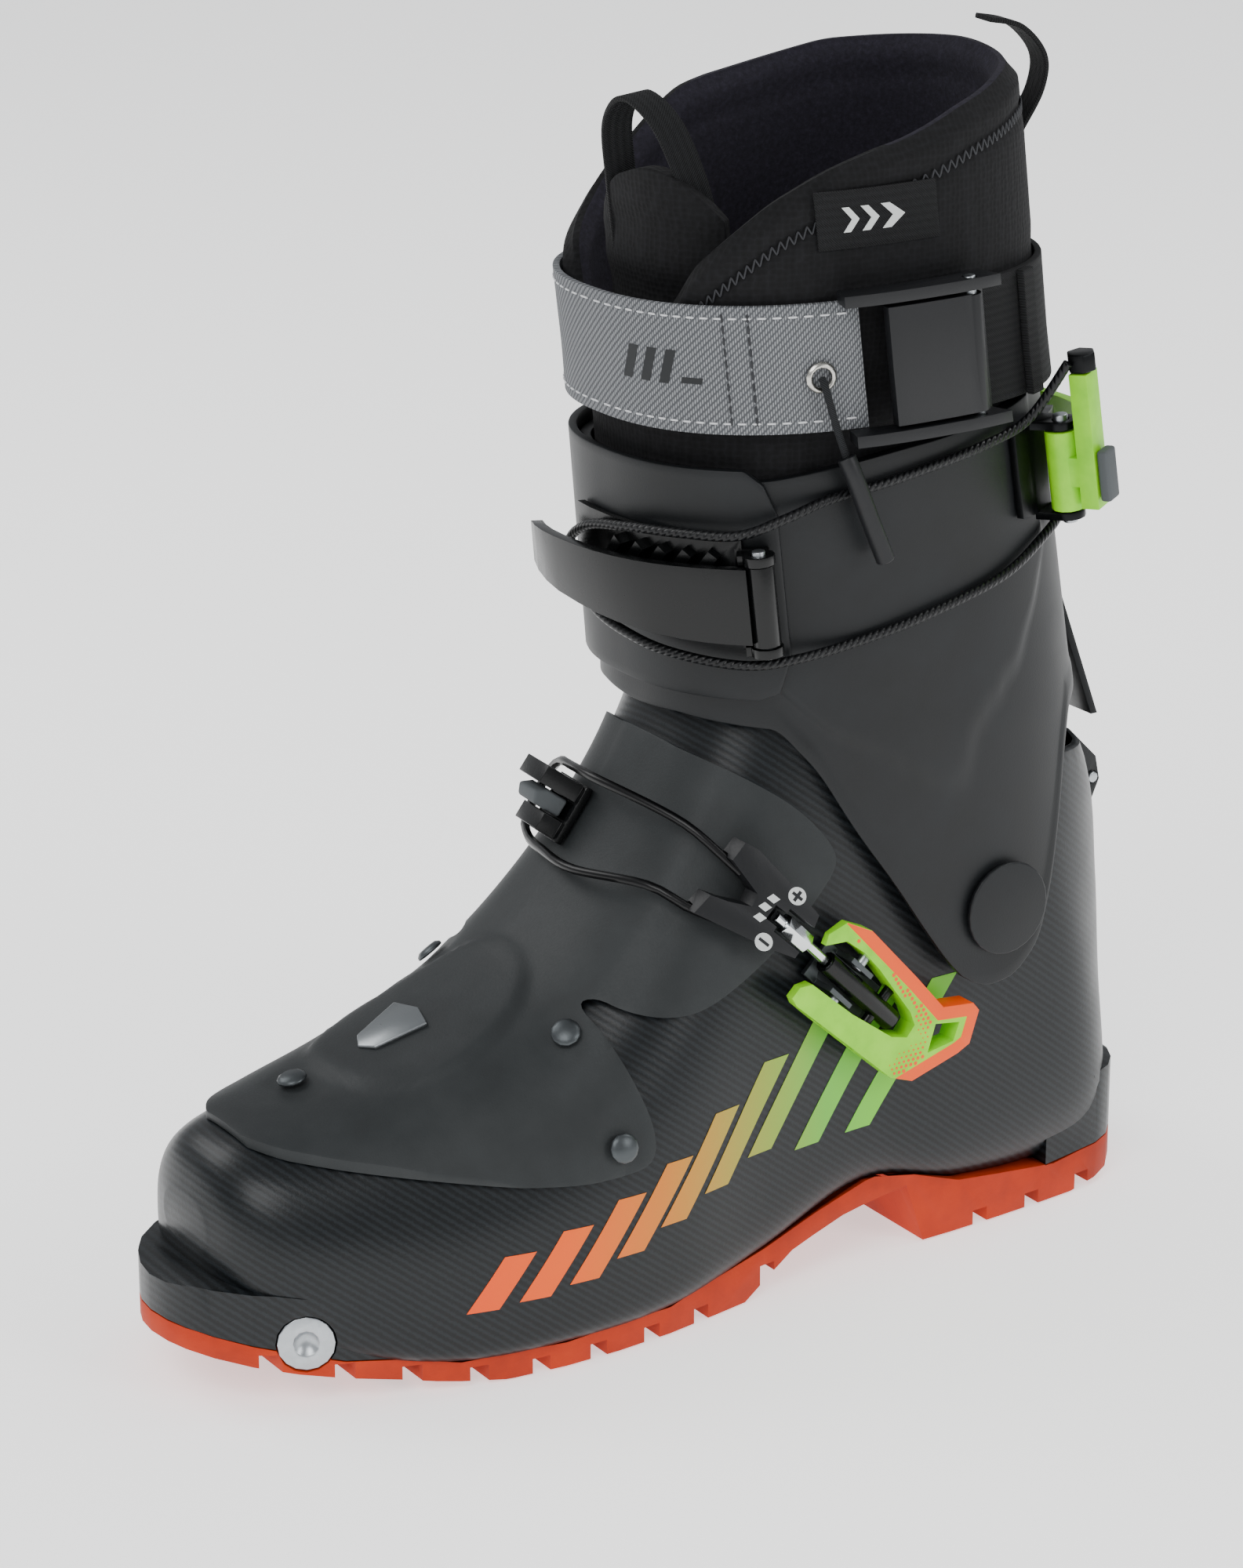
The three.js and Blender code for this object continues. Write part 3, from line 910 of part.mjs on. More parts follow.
// Lever: two arms joined behind the barrel, with a hooked tail and a diamond hole; outlines in side view, y and z.
const LEVER_OUTLINE = [
  [23, 101.5], [24, 104.5], [30, 106.5], [38, 102.5], [53, 86], [62, 75.5], [72, 74.5], [74, 72], [71, 63], [67, 61],
  [52, 56.5], [45, 59], [27, 75], [14, 86.5], [12.5, 89], [15, 91.5], [19, 91.5], [26, 85.4], [32, 80.2], [45, 70.8],
  [50, 69.5], [52.5, 72.5], [51, 76.5], [40.6, 91], [35.6, 96.8], [30, 101.2],
];
const DIAMOND = [[59.5, 71.2], [67.5, 70], [65.5, 65], [57, 63.5]];
const LEVER_THICKNESS = 6.4;
// The lever keeps its size on a longer or taller shell, and moves with the buckle's place.
const withBuckle = (outline) => outline.map(([y, z]) => [y + BUCKLE.y * (LONG - 1), z + BUCKLE.z * (TALL - 1)]);
const leverSlab = sideSlab(withBuckle(LEVER_OUTLINE), LEVER_THICKNESS).translate(BUCKLE_X + 0.5, 0, 0);
const NOSE_CUT = { from: -4, slope: deg(17), depth: 2.7 }; // the arms' noses rise off the shell
const noseCut = atBuckle(
  box(40, 60, 10).translate(-20, 0, -5).rotateY(NOSE_CUT.slope).translate(NOSE_CUT.from, 0, -NOSE_CUT.depth));
const runRadius = PIN.radius + RUN_GAP / 2;
const lowerLever = subtract(
  leverSlab,
  noseCut,
  sideSlab(withBuckle(DIAMOND), 30).translate(BUCKLE_X, 0, 0),
  crossRod(runRadius, 60, HINGE_X),
  crossRod(runRadius, 60, TRUNNION_X),
);
add(root, "lower_lever", lowerLever, 0xa9e45a, 0.4);

// Barrel with its trunnion, and the threaded rod with a hexagonal adjuster that reaches into the yoke.
const BARREL = { radius: 3, from: -11, to: 19, bore: 1.9 };
const ROD = { radius: 1.5, from: -34, to: -3 };
const barrelBody = join(alongRod(BARREL.radius, BARREL.from, BARREL.to), crossRod(PIN.radius, 21, TRUNNION_X));
add(root, "buckle_barrel", subtract(barrelBody, alongRod(BARREL.bore, BARREL.from - 1, ROD.to + 1.4)), 0x0f1012, 0.3, 0.5);
const HEX = { radius: 3, from: -30.5, to: -20.5 };
const adjuster = join(alongRod(ROD.radius, ROD.from, ROD.to, 12), alongRod(HEX.radius, HEX.from, HEX.to, 6));
add(root, "adjuster_rod", adjuster, 0xc3c7ca, 0.25, 1);

// Yoke: a plate that slopes down towards the instep and holds the rod's tip and both ends of the cable.
const YOKE_OUTLINE = [
  [4, 131], [0, 127], [5, 118], [3, 115], [-3, 117], [-7, 119], [-12, 115], [6, 104], [12, 101], [17, 106],
  [20, 111], [16, 117], [7, 129],
];
const YOKE = { thickness: 5.6, slope: 0.42, level: -31 };
const yokeSlab = sideSlab(stretched(YOKE_OUTLINE), YOKE.thickness);
const yokePoints = yokeSlab.attributes.position;
for (let i = 0; i < yokePoints.count; i++) {
  const stretch = (LONG + TALL) / 2;
  const along = (C45 * (yokePoints.getY(i) - BUCKLE.y * LONG - (yokePoints.getZ(i) - BUCKLE.z * TALL))) / stretch;
  yokePoints.setX(i, yokePoints.getX(i) + BUCKLE_X + YOKE.slope * (along - YOKE.level));
}
const ROD_NOTCH = { width: 4.4, depth: 2.3, from: -36.4, to: -15 };
const rodNotch = atBuckle(
  box(ROD_NOTCH.to - ROD_NOTCH.from, ROD_NOTCH.width, 20).translate(
    (ROD_NOTCH.from + ROD_NOTCH.to) / 2, 0, 10 - ROD_NOTCH.depth));
const HEX_NOTCH = { width: 7.4, depth: 3.8, from: -33, to: -15 };
const hexNotch = atBuckle(
  box(HEX_NOTCH.to - HEX_NOTCH.from, HEX_NOTCH.width, 20).translate(
    (HEX_NOTCH.from + HEX_NOTCH.to) / 2, 0, 10 - HEX_NOTCH.depth));

// Lower cable: from the yoke across the instep, round the rack's inner side and back.
const cableGrowth = CABLE_DIAMETER / 2 - 1.3; // past the radius that the places round the posts are drawn for
const rackPoint = (x, y, z) =>
  V(x + Math.sign(x) * cableGrowth, y + (y > 8 ? cableGrowth : 0), z + cableGrowth).applyMatrix4(instepRack.matrix);
instepRack.updateMatrix();
const lowerRoute = [
  V(45 * WIDE, 3 * LONG, 122.5 * TALL), V(41.5 * WIDE, 0, 126.5 * TALL), V(33 * WIDE, -6 * LONG, 134 * TALL),
  rackPoint(11.5, -22, 8.5), rackPoint(11.2, -6, 8), rackPoint(10.8, 5, 6), rackPoint(7.5, 12, 3.8),
  rackPoint(0, 14.5, 2.6), rackPoint(-7.5, 12, 2.6), rackPoint(-11, 4, 3), rackPoint(-12, -8, 3.4),
  rackPoint(-12, -26, 2.2), V(34 * WIDE, -17 * LONG, 119.5 * TALL), V(41.5 * WIDE, -11 * LONG, 115 * TALL),
  V(45.5 * WIDE, -6 * LONG, 112.5 * TALL),
];
const lowerCable = (diameter) => tube(lowerRoute, diameter, 6, 48);
add(root, "yoke", subtract(yokeSlab, rodNotch, hexNotch, lowerCable(CABLE_DIAMETER + 2 * FIT_GAP)), 0x2b2d30, 0.5);
add(root, "lower_cable", lowerCable(CABLE_DIAMETER), 0x0f1012, 0.45);

export default root;
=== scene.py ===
# An alpine touring boot for the left foot, in metres: +Z up, toe towards -Y, outer side towards +X.
import json
import math

import bpy
from mathutils import Matrix, Vector


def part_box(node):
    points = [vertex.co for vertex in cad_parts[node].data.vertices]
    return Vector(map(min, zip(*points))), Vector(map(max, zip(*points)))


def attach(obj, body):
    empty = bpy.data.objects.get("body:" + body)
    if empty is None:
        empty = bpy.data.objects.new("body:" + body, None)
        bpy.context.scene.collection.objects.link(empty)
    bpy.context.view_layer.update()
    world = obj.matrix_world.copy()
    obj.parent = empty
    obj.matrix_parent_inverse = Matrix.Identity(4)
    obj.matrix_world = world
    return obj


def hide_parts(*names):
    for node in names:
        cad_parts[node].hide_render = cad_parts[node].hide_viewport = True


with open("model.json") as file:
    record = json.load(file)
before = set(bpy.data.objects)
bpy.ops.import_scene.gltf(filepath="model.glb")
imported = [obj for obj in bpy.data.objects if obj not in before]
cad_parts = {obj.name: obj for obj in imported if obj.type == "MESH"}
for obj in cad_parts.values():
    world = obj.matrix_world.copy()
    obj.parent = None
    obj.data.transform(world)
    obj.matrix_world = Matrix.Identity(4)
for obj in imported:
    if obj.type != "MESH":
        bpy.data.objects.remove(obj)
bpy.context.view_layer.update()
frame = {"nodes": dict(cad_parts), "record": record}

# -------------------------------------------------------------------------------- camera
# A long lens at a little over a metre, from in front of the outer side and a little above.
CAMERA_AZIMUTH = math.radians(56.7)
CAMERA_ELEVATION = math.radians(18.8)
CAMERA_DISTANCE = 1.2
CAMERA_TARGET = Vector((0, 0, 0.15))
lens = bpy.data.cameras.new("camera")
lens.lens = 104.4
lens.sensor_width = 36
lens.shift_x = -0.0089
lens.shift_y = -0.0357
camera = bpy.data.objects.new("camera", lens)
bpy.context.collection.objects.link(camera)
camera.location = CAMERA_TARGET + CAMERA_DISTANCE * Vector((
    math.sin(CAMERA_AZIMUTH) * math.cos(CAMERA_ELEVATION),
    -math.cos(CAMERA_AZIMUTH) * math.cos(CAMERA_ELEVATION),
    math.sin(CAMERA_ELEVATION)))
camera.rotation_euler = (CAMERA_TARGET - camera.location).to_track_quat("-Z", "Y").to_euler()
bpy.context.scene.camera = camera

# -------------------------------------------------------------------------------- release cord
# A thin woven cord, tied through an eyelet in the power strap, with a soft tube slipped over its end as a pull.
# It hangs over the cuff's outer side. Its braid is drawn in its material, in slanted bands.
MM = 0.001
CUFF_HALF_WIDTHS = [(100, 51.5), (150, 51), (200, 49), (250, 47.5)]
CUFF_HALF_DEPTHS = [(150, 66), (200, 64.5), (250, 63)]
CUFF_SQUARENESS = 2.4


def look_up(pairs, key):
    """Straight-line value between (key, value) pairs, held level past the ends."""
    if key <= pairs[0][0]:
        return pairs[0][1]
    for (k0, v0), (k1, v1) in zip(pairs, pairs[1:]):
        if key <= k1:
            return v0 + (v1 - v0) * (key - k0) / (k1 - k0)
    return pairs[-1][1]


def signed_power(value, exponent):
    return math.copysign(abs(value) ** exponent, value)


def cuff_point(angle, z, out=0.0):
    """A point on the cuff: angle 0 is the outer side, 90 the heel and -90 the shin; z and out in mm."""
    a = look_up(CUFF_HALF_WIDTHS, z) + out
    b = look_up(CUFF_HALF_DEPTHS, z) + out
    power = 2 / CUFF_SQUARENESS
    c, s = math.cos(math.radians(angle)), math.sin(math.radians(angle))
    centre = 66 - (z - 150) / 8
    return Vector((signed_power(c, power) * a, centre + signed_power(s, power) * b, z)) * MM


def linear(hex_colour):
    """An sRGB hex colour as linear RGBA."""
    values = [int(hex_colour[i:i + 2], 16) / 255 for i in (1, 3, 5)]
    return [v / 12.92 if v < 0.04045 else ((v + 0.055) / 1.055) ** 2.4 for v in values] + [1]


def add_node(tree, kind, inputs=None, **settings):
    """Adds a shader node; an input given as a socket is linked, and any other is set."""
    node = tree.nodes.new(kind)
    for key, value in settings.items():
        setattr(node, key, value)
    for key, value in (inputs or {}).items():
        if isinstance(value, bpy.types.NodeSocket):
            tree.links.new(value, node.inputs[key])
        else:
            node.inputs[key].default_value = value
    return node


def new_material(name, colour, roughness, metallic=0.0, ior=1.5, **shader):
    """A Principled material; plastics and cloth take a lower specular level, for their finely broken skin."""
    material = bpy.data.materials.new(name)
    material.use_nodes = True
    tree = material.node_tree
    bsdf = tree.nodes["Principled BSDF"]
    values = {"Base Color": linear(colour), "Roughness": roughness, "Metallic": metallic, "IOR": ior,
              "Specular IOR Level": 0.5 if metallic else 0.3, **shader}
    for key, value in values.items():
        bsdf.inputs[key].default_value = value
    return material, tree, bsdf


def paint(tree, bsdf, factor, colours, stops=None):
    """Feeds the base colour from a ramp of hex colours over a factor."""
    ramp = add_node(tree, "ShaderNodeValToRGB", {"Fac": factor})
    stops = stops or [i / (len(colours) - 1) for i in range(len(colours))]
    while len(ramp.color_ramp.elements) < len(colours):
        ramp.color_ramp.elements.new(0.5)
    for element, stop, colour in zip(ramp.color_ramp.elements, stops, colours):
        element.position = stop
        element.color = linear(colour)
    tree.links.new(ramp.outputs["Color"], bsdf.inputs["Base Color"])


def roughen(tree, bsdf, factor, low, high):
    """Lets the roughness wander between two values with a factor."""
    spread = add_node(tree, "ShaderNodeMapRange", {"Value": factor, "To Min": low, "To Max": high})
    tree.links.new(spread.outputs["Result"], bsdf.inputs["Roughness"])


def emboss(tree, bsdf, height, depth_mm, strength=1.0):
    """Feeds the normal from a height field of the given depth."""
    bump = add_node(tree, "ShaderNodeBump", {"Height": height, "Distance": depth_mm * MM, "Strength": strength})
    tree.links.new(bump.outputs["Normal"], bsdf.inputs["Normal"])


def place(tree, scale=(1, 1, 1), turn=(0, 0, 0), source="Object"):
    """Coordinates for a pattern, scaled and turned."""
    coordinates = add_node(tree, "ShaderNodeTexCoord").outputs[source]
    mapping = add_node(tree, "ShaderNodeMapping", {"Vector": coordinates, "Scale": scale, "Rotation": turn})
    return mapping.outputs["Vector"]


def grain(tree, size_mm, detail=3.0, roughness=0.6, stretch=(1, 1, 1)):
    """A grain whose coarsest features have the given size; a stretch over 1 draws it finer along that axis."""
    return add_node(
        tree, "ShaderNodeTexNoise",
        {"Vector": place(tree, stretch), "Scale": 1000 / size_mm, "Detail": detail, "Roughness": roughness},
    ).outputs["Fac"]


def loft_faces(rings, sides, base=0):
    """Faces round a run of closed rings, with an end cap on the first ring and on the last."""
    faces = []
    for i in range(rings - 1):
        a = base + i * sides
        around = [(k, (k + 1) % sides) for k in range(sides)]
        faces += [(a + k, a + n, a + sides + n, a + sides + k) for k, n in around]
    last = base + (rings - 1) * sides
    return faces + [tuple(base + k for k in range(sides))[::-1], tuple(last + k for k in range(sides))]


def mesh_piece(name, points, faces, material):
    mesh = bpy.data.meshes.new(name)
    mesh.from_pydata([tuple(p) for p in points], [], faces)
    mesh.validate()
    piece = bpy.data.objects.new(name, mesh)
    bpy.context.collection.objects.link(piece)
    piece.data.materials.append(material)
    return piece


def lay_uv(piece, places):
    """Gives the piece a UV map with one place for each vertex."""
    uv = piece.data.uv_layers.new(name="along")
    for loop in piece.data.loops:
        uv.data[loop.index].uv = places[loop.vertex_index]


def only(piece):
    """Makes a piece the one that is selected and active."""
    bpy.ops.object.select_all(action="DESELECT")
    bpy.context.view_layer.objects.active = piece
    piece.select_set(True)


def edit(piece, *steps):
    """Runs edit-mode steps on everything in the piece."""
    only(piece)
    bpy.ops.object.mode_set(mode="EDIT")
    bpy.ops.mesh.select_all(action="SELECT")
    for step in steps:
        step()
    bpy.ops.object.mode_set(mode="OBJECT")


def outward():
    bpy.ops.mesh.normals_make_consistent(inside=False)


def modify(piece, kind, **settings):
    """Adds a modifier to the piece and applies it."""
    only(piece)
    modifier = piece.modifiers.new(kind.lower(), kind)
    for key, value in settings.items():
        setattr(modifier, key, value)
    bpy.ops.object.modifier_apply(modifier=modifier.name)


def assign(piece, body, node=None):
    """Rides the piece on a body and hides the CAD node that it replaces, when one is named."""
    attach(piece, body)
    if node:
        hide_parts(node)


def smooth(piece, angle=35):
    only(piece)
    bpy.ops.object.shade_smooth_by_angle(angle=math.radians(angle))


WELD_REACH = 0.02 * MM
FLAT_WITHIN = math.radians(0.6)  # CAD faces that turn by less than this are joined


def cut(piece, tool, operation="DIFFERENCE"):
    modify(piece, "BOOLEAN", object=tool, operation=operation, solver="EXACT")
    bpy.data.objects.remove(tool)


def weld():
    bpy.ops.mesh.remove_doubles(threshold=WELD_REACH)


def round_edges(piece, bevel_mm, segments=2, sharper_than=40):
    """Rounds the edges that turn by more than an angle; a bevel of 0 leaves them sharp."""
    if bevel_mm:
        modify(piece, "BEVEL", width=bevel_mm * MM, segments=segments, limit_method="ANGLE",
               angle_limit=math.radians(sharper_than), harden_normals=False)


def tidy(piece, bevel_mm=0.0, angle=35, segments=2):
    """Merges what a boolean leaves, rounds the edges and smooths the faces."""
    edit(piece, weld)
    round_edges(piece, bevel_mm, segments)
    smooth(piece, angle)


def tube_piece(name, points, diameter, material, sides=12, smoothness=6):
    """A round tube along a smooth curve through points, as a mesh with its length and turn in its UV map."""
    curve = through_points(points, smoothness)
    points, side = [], None
    for i, p in enumerate(curve):
        forward = (curve[min(i + 1, len(curve) - 1)] - curve[max(i - 1, 0)]).normalized()
        side = (side - forward * side.dot(forward) if side else forward.orthogonal()).normalized()
        other = forward.cross(side)
        for k in range(sides):
            a = 2 * math.pi * k / sides
            points.append(p + (side * math.cos(a) + other * math.sin(a)) * diameter / 2)
    piece = mesh_piece(name, points, loft_faces(len(curve), sides), material)
    lengths = [0.0]
    for a, b in zip(curve, curve[1:]):
        lengths.append(lengths[-1] + (b - a).length)
    uv = piece.data.uv_layers.new(name="along")
    for polygon in piece.data.polygons:
        for loop in polygon.loop_indices:
            ring, k = divmod(piece.data.loops[loop].vertex_index, sides)
            turn = 1 if k == 0 and polygon.index % sides == sides - 1 else k / sides
            uv.data[loop].uv = (lengths[ring], turn)
    edit(piece, outward)
    smooth(piece, 50)
    return piece, curve


def through_points(points, smoothness):
    """A Catmull-Rom curve through the points."""
    line = []
    for i in range(len(points) - 1):
        p0, p1, p2 = points[max(i - 1, 0)], points[i], points[i + 1]
        p3 = points[min(i + 2, len(points) - 1)]
        for k in range(smoothness):
            t = k / smoothness
            line.append(0.5 * ((2 * p1) + (p2 - p0) * t + (2 * p0 - 5 * p1 + 4 * p2 - p3) * t * t
                               + (3 * p1 - p0 - 3 * p2 + p3) * t * t * t))
    line.append(points[-1].copy())
    return line


# Woven polyester cord: matt, with the slanted bands of its braid, under 1 mm long.
cord_cloth, tree, bsdf = new_material("woven_polyester_cord", "#141517", 0.85)
along = place(tree, (900, 6, 1), source="UV")
braid = add_node(tree, "ShaderNodeTexWave", {"Vector": along, "Scale": 1, "Distortion": 0.4},
                 bands_direction="DIAGONAL")
paint(tree, bsdf, braid.outputs["Fac"], ["#0C0D0E", "#26282B"])
emboss(tree, bsdf, braid.outputs["Fac"], 0.15)
CORD_DIAMETER = 2 * MM
CORD_ROUTE = [  # angle, z, out; the last two lie inside the tube, where the cord's knot sits
    (-21.6, 252, 4), (-21.2, 250, 5.4), (-20.6, 246, 5.8), (-19.6, 240, 5.4), (-18.6, 235, 4.9), (-17.8, 231.5, 4.6),
    (-16.6, 226, 5.6), (-15.1, 219, 5.8)]
cord_points = [cuff_point(*p) for p in CORD_ROUTE]
cord, cord_line = tube_piece("release_cord_woven", cord_points, CORD_DIAMETER, cord_cloth, 12, 4)
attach(cord, "cuff")
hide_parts("release_cord")

# Pull: a soft tube over the knotted end of the cord.
pull_rubber, tree, bsdf = new_material("soft_pvc_tube", "#17181A", 0.42)
matt = grain(tree, 1.5)
roughen(tree, bsdf, matt, 0.36, 0.52)
emboss(tree, bsdf, matt, 0.03)
TUBE_ROUTE = [(-17.8, 231, 4.6), (-16.6, 226, 5.6), (-14, 214, 6), (-11.5, 203, 6)]
pull, _ = tube_piece("pull_tube_soft", [cuff_point(*p) for p in TUBE_ROUTE], 5 * MM, pull_rubber, 16, 8)
round_edges(pull, 0.5, 3, 30)
smooth(pull)
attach(pull, "cuff")
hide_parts("pull_tube")

# -------------------------------------------------------------------------------- floor and light
# A plain pale floor, a large soft key light from the left front, and three smaller ones that edge the blacks.
floor_paint, tree, bsdf = new_material("matt_floor_paint", "#F7F7F6", 0.9)
bsdf.inputs["Emission Color"].default_value = (1, 1, 1, 1)
bsdf.inputs["Emission Strength"].default_value = 0.9
bpy.ops.object.select_all(action="DESELECT")
bpy.ops.mesh.primitive_plane_add(size=8, location=(0, 0, -0.0006))
floor = bpy.context.object
floor.name = "floor"
floor.data.materials.append(floor_paint)
world = bpy.data.worlds.new("studio")
bpy.context.scene.world = world
world.use_nodes = True
world.node_tree.nodes["Background"].inputs["Color"].default_value = (0.95, 0.97, 1, 1)
world.node_tree.nodes["Background"].inputs["Strength"].default_value = 0.5
LIGHTS = [  # place, size, power, aim
    ((0.9, -1.3, 1.5), 1.2, 22, (0, 0, 0.12)),
    ((1.5, 0.7, 0.9), 0.7, 9, (0, 0, 0.15)),
    ((-1.1, -0.7, 1.2), 0.9, 10, (0, 0, 0.15)),
    ((0.1, 1.1, 1.5), 0.8, 9, (0, 0, 0.2)),
]
for i, (where, size, power, aim) in enumerate(LIGHTS):
    light = bpy.data.lights.new(f"softbox_{i}", "AREA")
    light.size = size
    light.energy = power
    lamp = bpy.data.objects.new(f"softbox_{i}", light)
    bpy.context.collection.objects.link(lamp)
    lamp.location = where
    lamp.rotation_euler = (Vector(aim) - Vector(where)).to_track_quat("-Z", "Y").to_euler()

# -------------------------------------------------------------------------------- lower shell
# Injection-moulded nylon filled with carbon fibre, 3 mm thick, in one piece from toe ledge to heel spine. It is
# satin black with a fine diagonal rib texture, and a printed band of slanted bars runs from orange to lime.
SLICES = [  # sole line y, z; instep line y, z; half widths outer, inner; widest share; squareness below, above
    (-138, 36, -138, 50, 11, 11, 0.5, 2.4, 2.4), (-135, 24, -134, 60, 21.5, 21.5, 0.45, 3, 2.4),
    (-128, 15, -125, 65, 31, 30.5, 0.36, 5, 2.5), (-110, 9.5, -105, 68, 40.5, 39, 0.33, 6, 2.6),
    (-84, 5.5, -76, 76, 50, 45.5, 0.3, 8, 2.5), (-55, 5, -42, 92, 55, 50, 0.27, 8, 2.4),
    (-22, 5.5, -17, 117, 54, 47, 0.25, 8, 2.4), (12, 11, 2, 146, 48, 43, 0.27, 8, 2.4),
    (48, 20.5, 14, 172, 44, 41, 0.3, 8, 2.6), (80, 12.5, 22, 192, 44, 42, 0.33, 7, 2.8),
    (115, 8, 28, 206, 43.5, 42, 0.36, 5, 2.8), (141, 10.5, 32, 216, 43, 42, 0.38, 3.3, 2.8),
    (147, 42, 34, 224, 42, 41.5, 0.4, 2.2, 2.8), (147, 76, 36, 232, 40, 40, 0.4, 2, 2.8),
    (143.5, 108, 38, 240, 38.5, 38, 0.42, 2, 2.8), (129, 137, 40, 248, 36.5, 36, 0.45, 2, 2.8),
]
LAST_SLICE = len(SLICES) - 1
SHELL_WALL = 3


def slice_value(column, u):
    """A column of SLICES at a slice number that need not be whole, on a smooth curve through the rows."""
    i = min(max(int(u), 0), LAST_SLICE - 1)
    f = u - i
    at = lambda k: SLICES[min(max(k, 0), LAST_SLICE)][column]
    slope0, slope1 = (at(i + 1) - at(i - 1)) / 2, (at(i + 2) - at(i)) / 2
    return ((2 * f**3 - 3 * f**2 + 1) * at(i) + (f**3 - 2 * f**2 + f) * slope0
            + (3 * f**2 - 2 * f**3) * at(i + 1) + (f**3 - f**2) * slope1)


def shell_point(u, angle, out=0.0):
    """A point on the shell at slice u; the angle is 0 at the outer side, 90 on the instep, 270 on the sole."""
    by, bz, ty, tz, outer, inner, widest, below, above = (slice_value(c, u) for c in range(9))
    c, s = math.cos(math.radians(angle)), math.sin(math.radians(angle))
    power = 2 / (above if s >= 0 else below)
    length = math.hypot(ty - by, tz - bz)
    along = widest * length + signed_power(s, power) * (((1 - widest) if s >= 0 else widest) * length + out)
    x = signed_power(c, power) * ((outer if c >= 0 else inner) + out)
    return Vector((x, by + (ty - by) * along / length, bz + (tz - bz) * along / length)) * MM


def shell_loft(name, out, start, material, rings=92, sides=88):
    """A closed solid through the shell's slices, grown by a number or by a function of slice and angle."""
    grown = out if callable(out) else (lambda u, angle: out)
    points = []
    for i in range(rings + 1):
        u = start + (LAST_SLICE - start) * i / rings
        points += [shell_point(u, 360 * k / sides, grown(u, 360 * k / sides)) for k in range(sides)]
    piece = mesh_piece(name, points, loft_faces(rings + 1, sides), material)
    edit(piece, outward)
    return piece


def side_prism(name, outline, width, material):
    """A side-view outline, (y, z) in mm, extruded across the boot."""
    points = [Vector((x, y, z)) * MM for x in (-width / 2, width / 2) for y, z in outline]
    n = len(outline)
    faces = [tuple(range(n)), tuple(range(n, 2 * n))[::-1]]
    faces += [(i, (i + 1) % n, n + (i + 1) % n, n + i) for i in range(n)]
    piece = mesh_piece(name, points, faces, material)
    edit(piece, outward)
    return piece


def rounded(outline, turns=3):
    """An outline whose corners are cut again and again, so that they come out round."""
    for _ in range(turns):
        points = []
        for (a0, b0), (a1, b1) in zip(outline, outline[1:] + outline[:1]):
            points += [(a0 * f + a1 * (1 - f), b0 * f + b1 * (1 - f)) for f in (0.75, 0.25)]
        outline = points
    return outline


# Carbon-filled nylon, moulded: ribbed diagonally every 1.8 mm in a grained skin, with specks of fibre under it.
carbon_nylon, tree, bsdf = new_material("carbon_filled_nylon", "#1B2022", 0.34)
speck = grain(tree, 0.9, 2, 0.8)
cloud = grain(tree, 14, 3)
slanted = place(tree, turn=(math.radians(38), 0, 0))
ribs = add_node(tree, "ShaderNodeTexWave", {"Vector": slanted, "Scale": 170, "Distortion": 0.0},
                bands_direction="Z").outputs["Fac"]
ribbed = add_node(tree, "ShaderNodeMath", {0: ribs, 1: 0.6}, operation="MULTIPLY").outputs["Value"]
skin = add_node(tree, "ShaderNodeMath", {0: ribbed, 1: speck}, operation="ADD").outputs["Value"]
paint(tree, bsdf, skin, ["#080A0B", "#0E1113", "#1A1E21"], [0.3, 0.75, 1.0])
roughen(tree, bsdf, cloud, 0.28, 0.42)
emboss(tree, bsdf, skin, 0.06, 0.6)

THROAT = [
    (-40, 300), (-40, 170), (3, 158), (9, 158), (40, 150), (85, 141), (110, 133), (134, 130), (190, 130), (190, 300)]
shell = shell_loft("shell_body", 0, 0, carbon_nylon)
cut(shell, shell_loft("cavity", -SHELL_WALL, 1, carbon_nylon, 60, 64))
cut(shell, side_prism("throat", THROAT, 160, carbon_nylon))
INSERT_SEATS = [(33.9, 0.8988), (-31.6, -0.8988)]  # x of the toe inserts' faces, and x of the way that they face
INSERT_Y, INSERT_Z, INSERT_FACING_Y = -122, 17.5, -0.4384
SEAT_DIAMETER, SEAT_DEPTH, SEAT_MARGIN = 15.8, 6.4, 8
for x, facing_x in INSERT_SEATS:
    face = Vector((x, INSERT_Y, INSERT_Z)) * MM
    axis = Vector((facing_x, INSERT_FACING_Y, 0)) * MM
    ends = [face - axis * SEAT_DEPTH, face + axis * SEAT_MARGIN]
    cut(shell, tube_piece("insert_seat", ends, SEAT_DIAMETER * MM, carbon_nylon, 32, 1)[0])
tidy(shell, 0.7)
assign(shell, "boot", "lower_shell")


def from_cad(node, name, material, bevel_mm=0.4, angle=35, segments=2, keep=False):
    """A finished copy of a machined or moulded CAD piece: its faces joined up, its edges rounded."""
    piece = bpy.data.objects.new(name, frame["nodes"][node].data.copy())
    bpy.context.collection.objects.link(piece)
    piece.data.materials.clear()
    piece.data.materials.append(material)
    edit(piece, weld, lambda: bpy.ops.mesh.dissolve_limited(angle_limit=FLAT_WITHIN))
    round_edges(piece, bevel_mm, segments)
    smooth(piece, angle)
    assign(piece, BODY_OF[node], node=None if keep else node)
    return piece


BODY_OF = {node: body for body, nodes in frame["record"]["behaviour"]["bodies"].items() for node in nodes}

# Toe and heel ledges: the binding and crampon rims, moulded with the shell.
ledges = from_cad("lower_shell", "binding_ledges", carbon_nylon, 0, keep=True)
ends = side_prism("toe_end", [(-160, 5), (-96, 5), (-96, 31.9), (-160, 31.9)], 120, carbon_nylon)
cut(ends, side_prism("heel_end", [(112, 5), (160, 5), (160, 33.9), (112, 33.9)], 120, carbon_nylon), "UNION")
cut(ledges, ends, "INTERSECT")
tidy(ledges, 0.6)

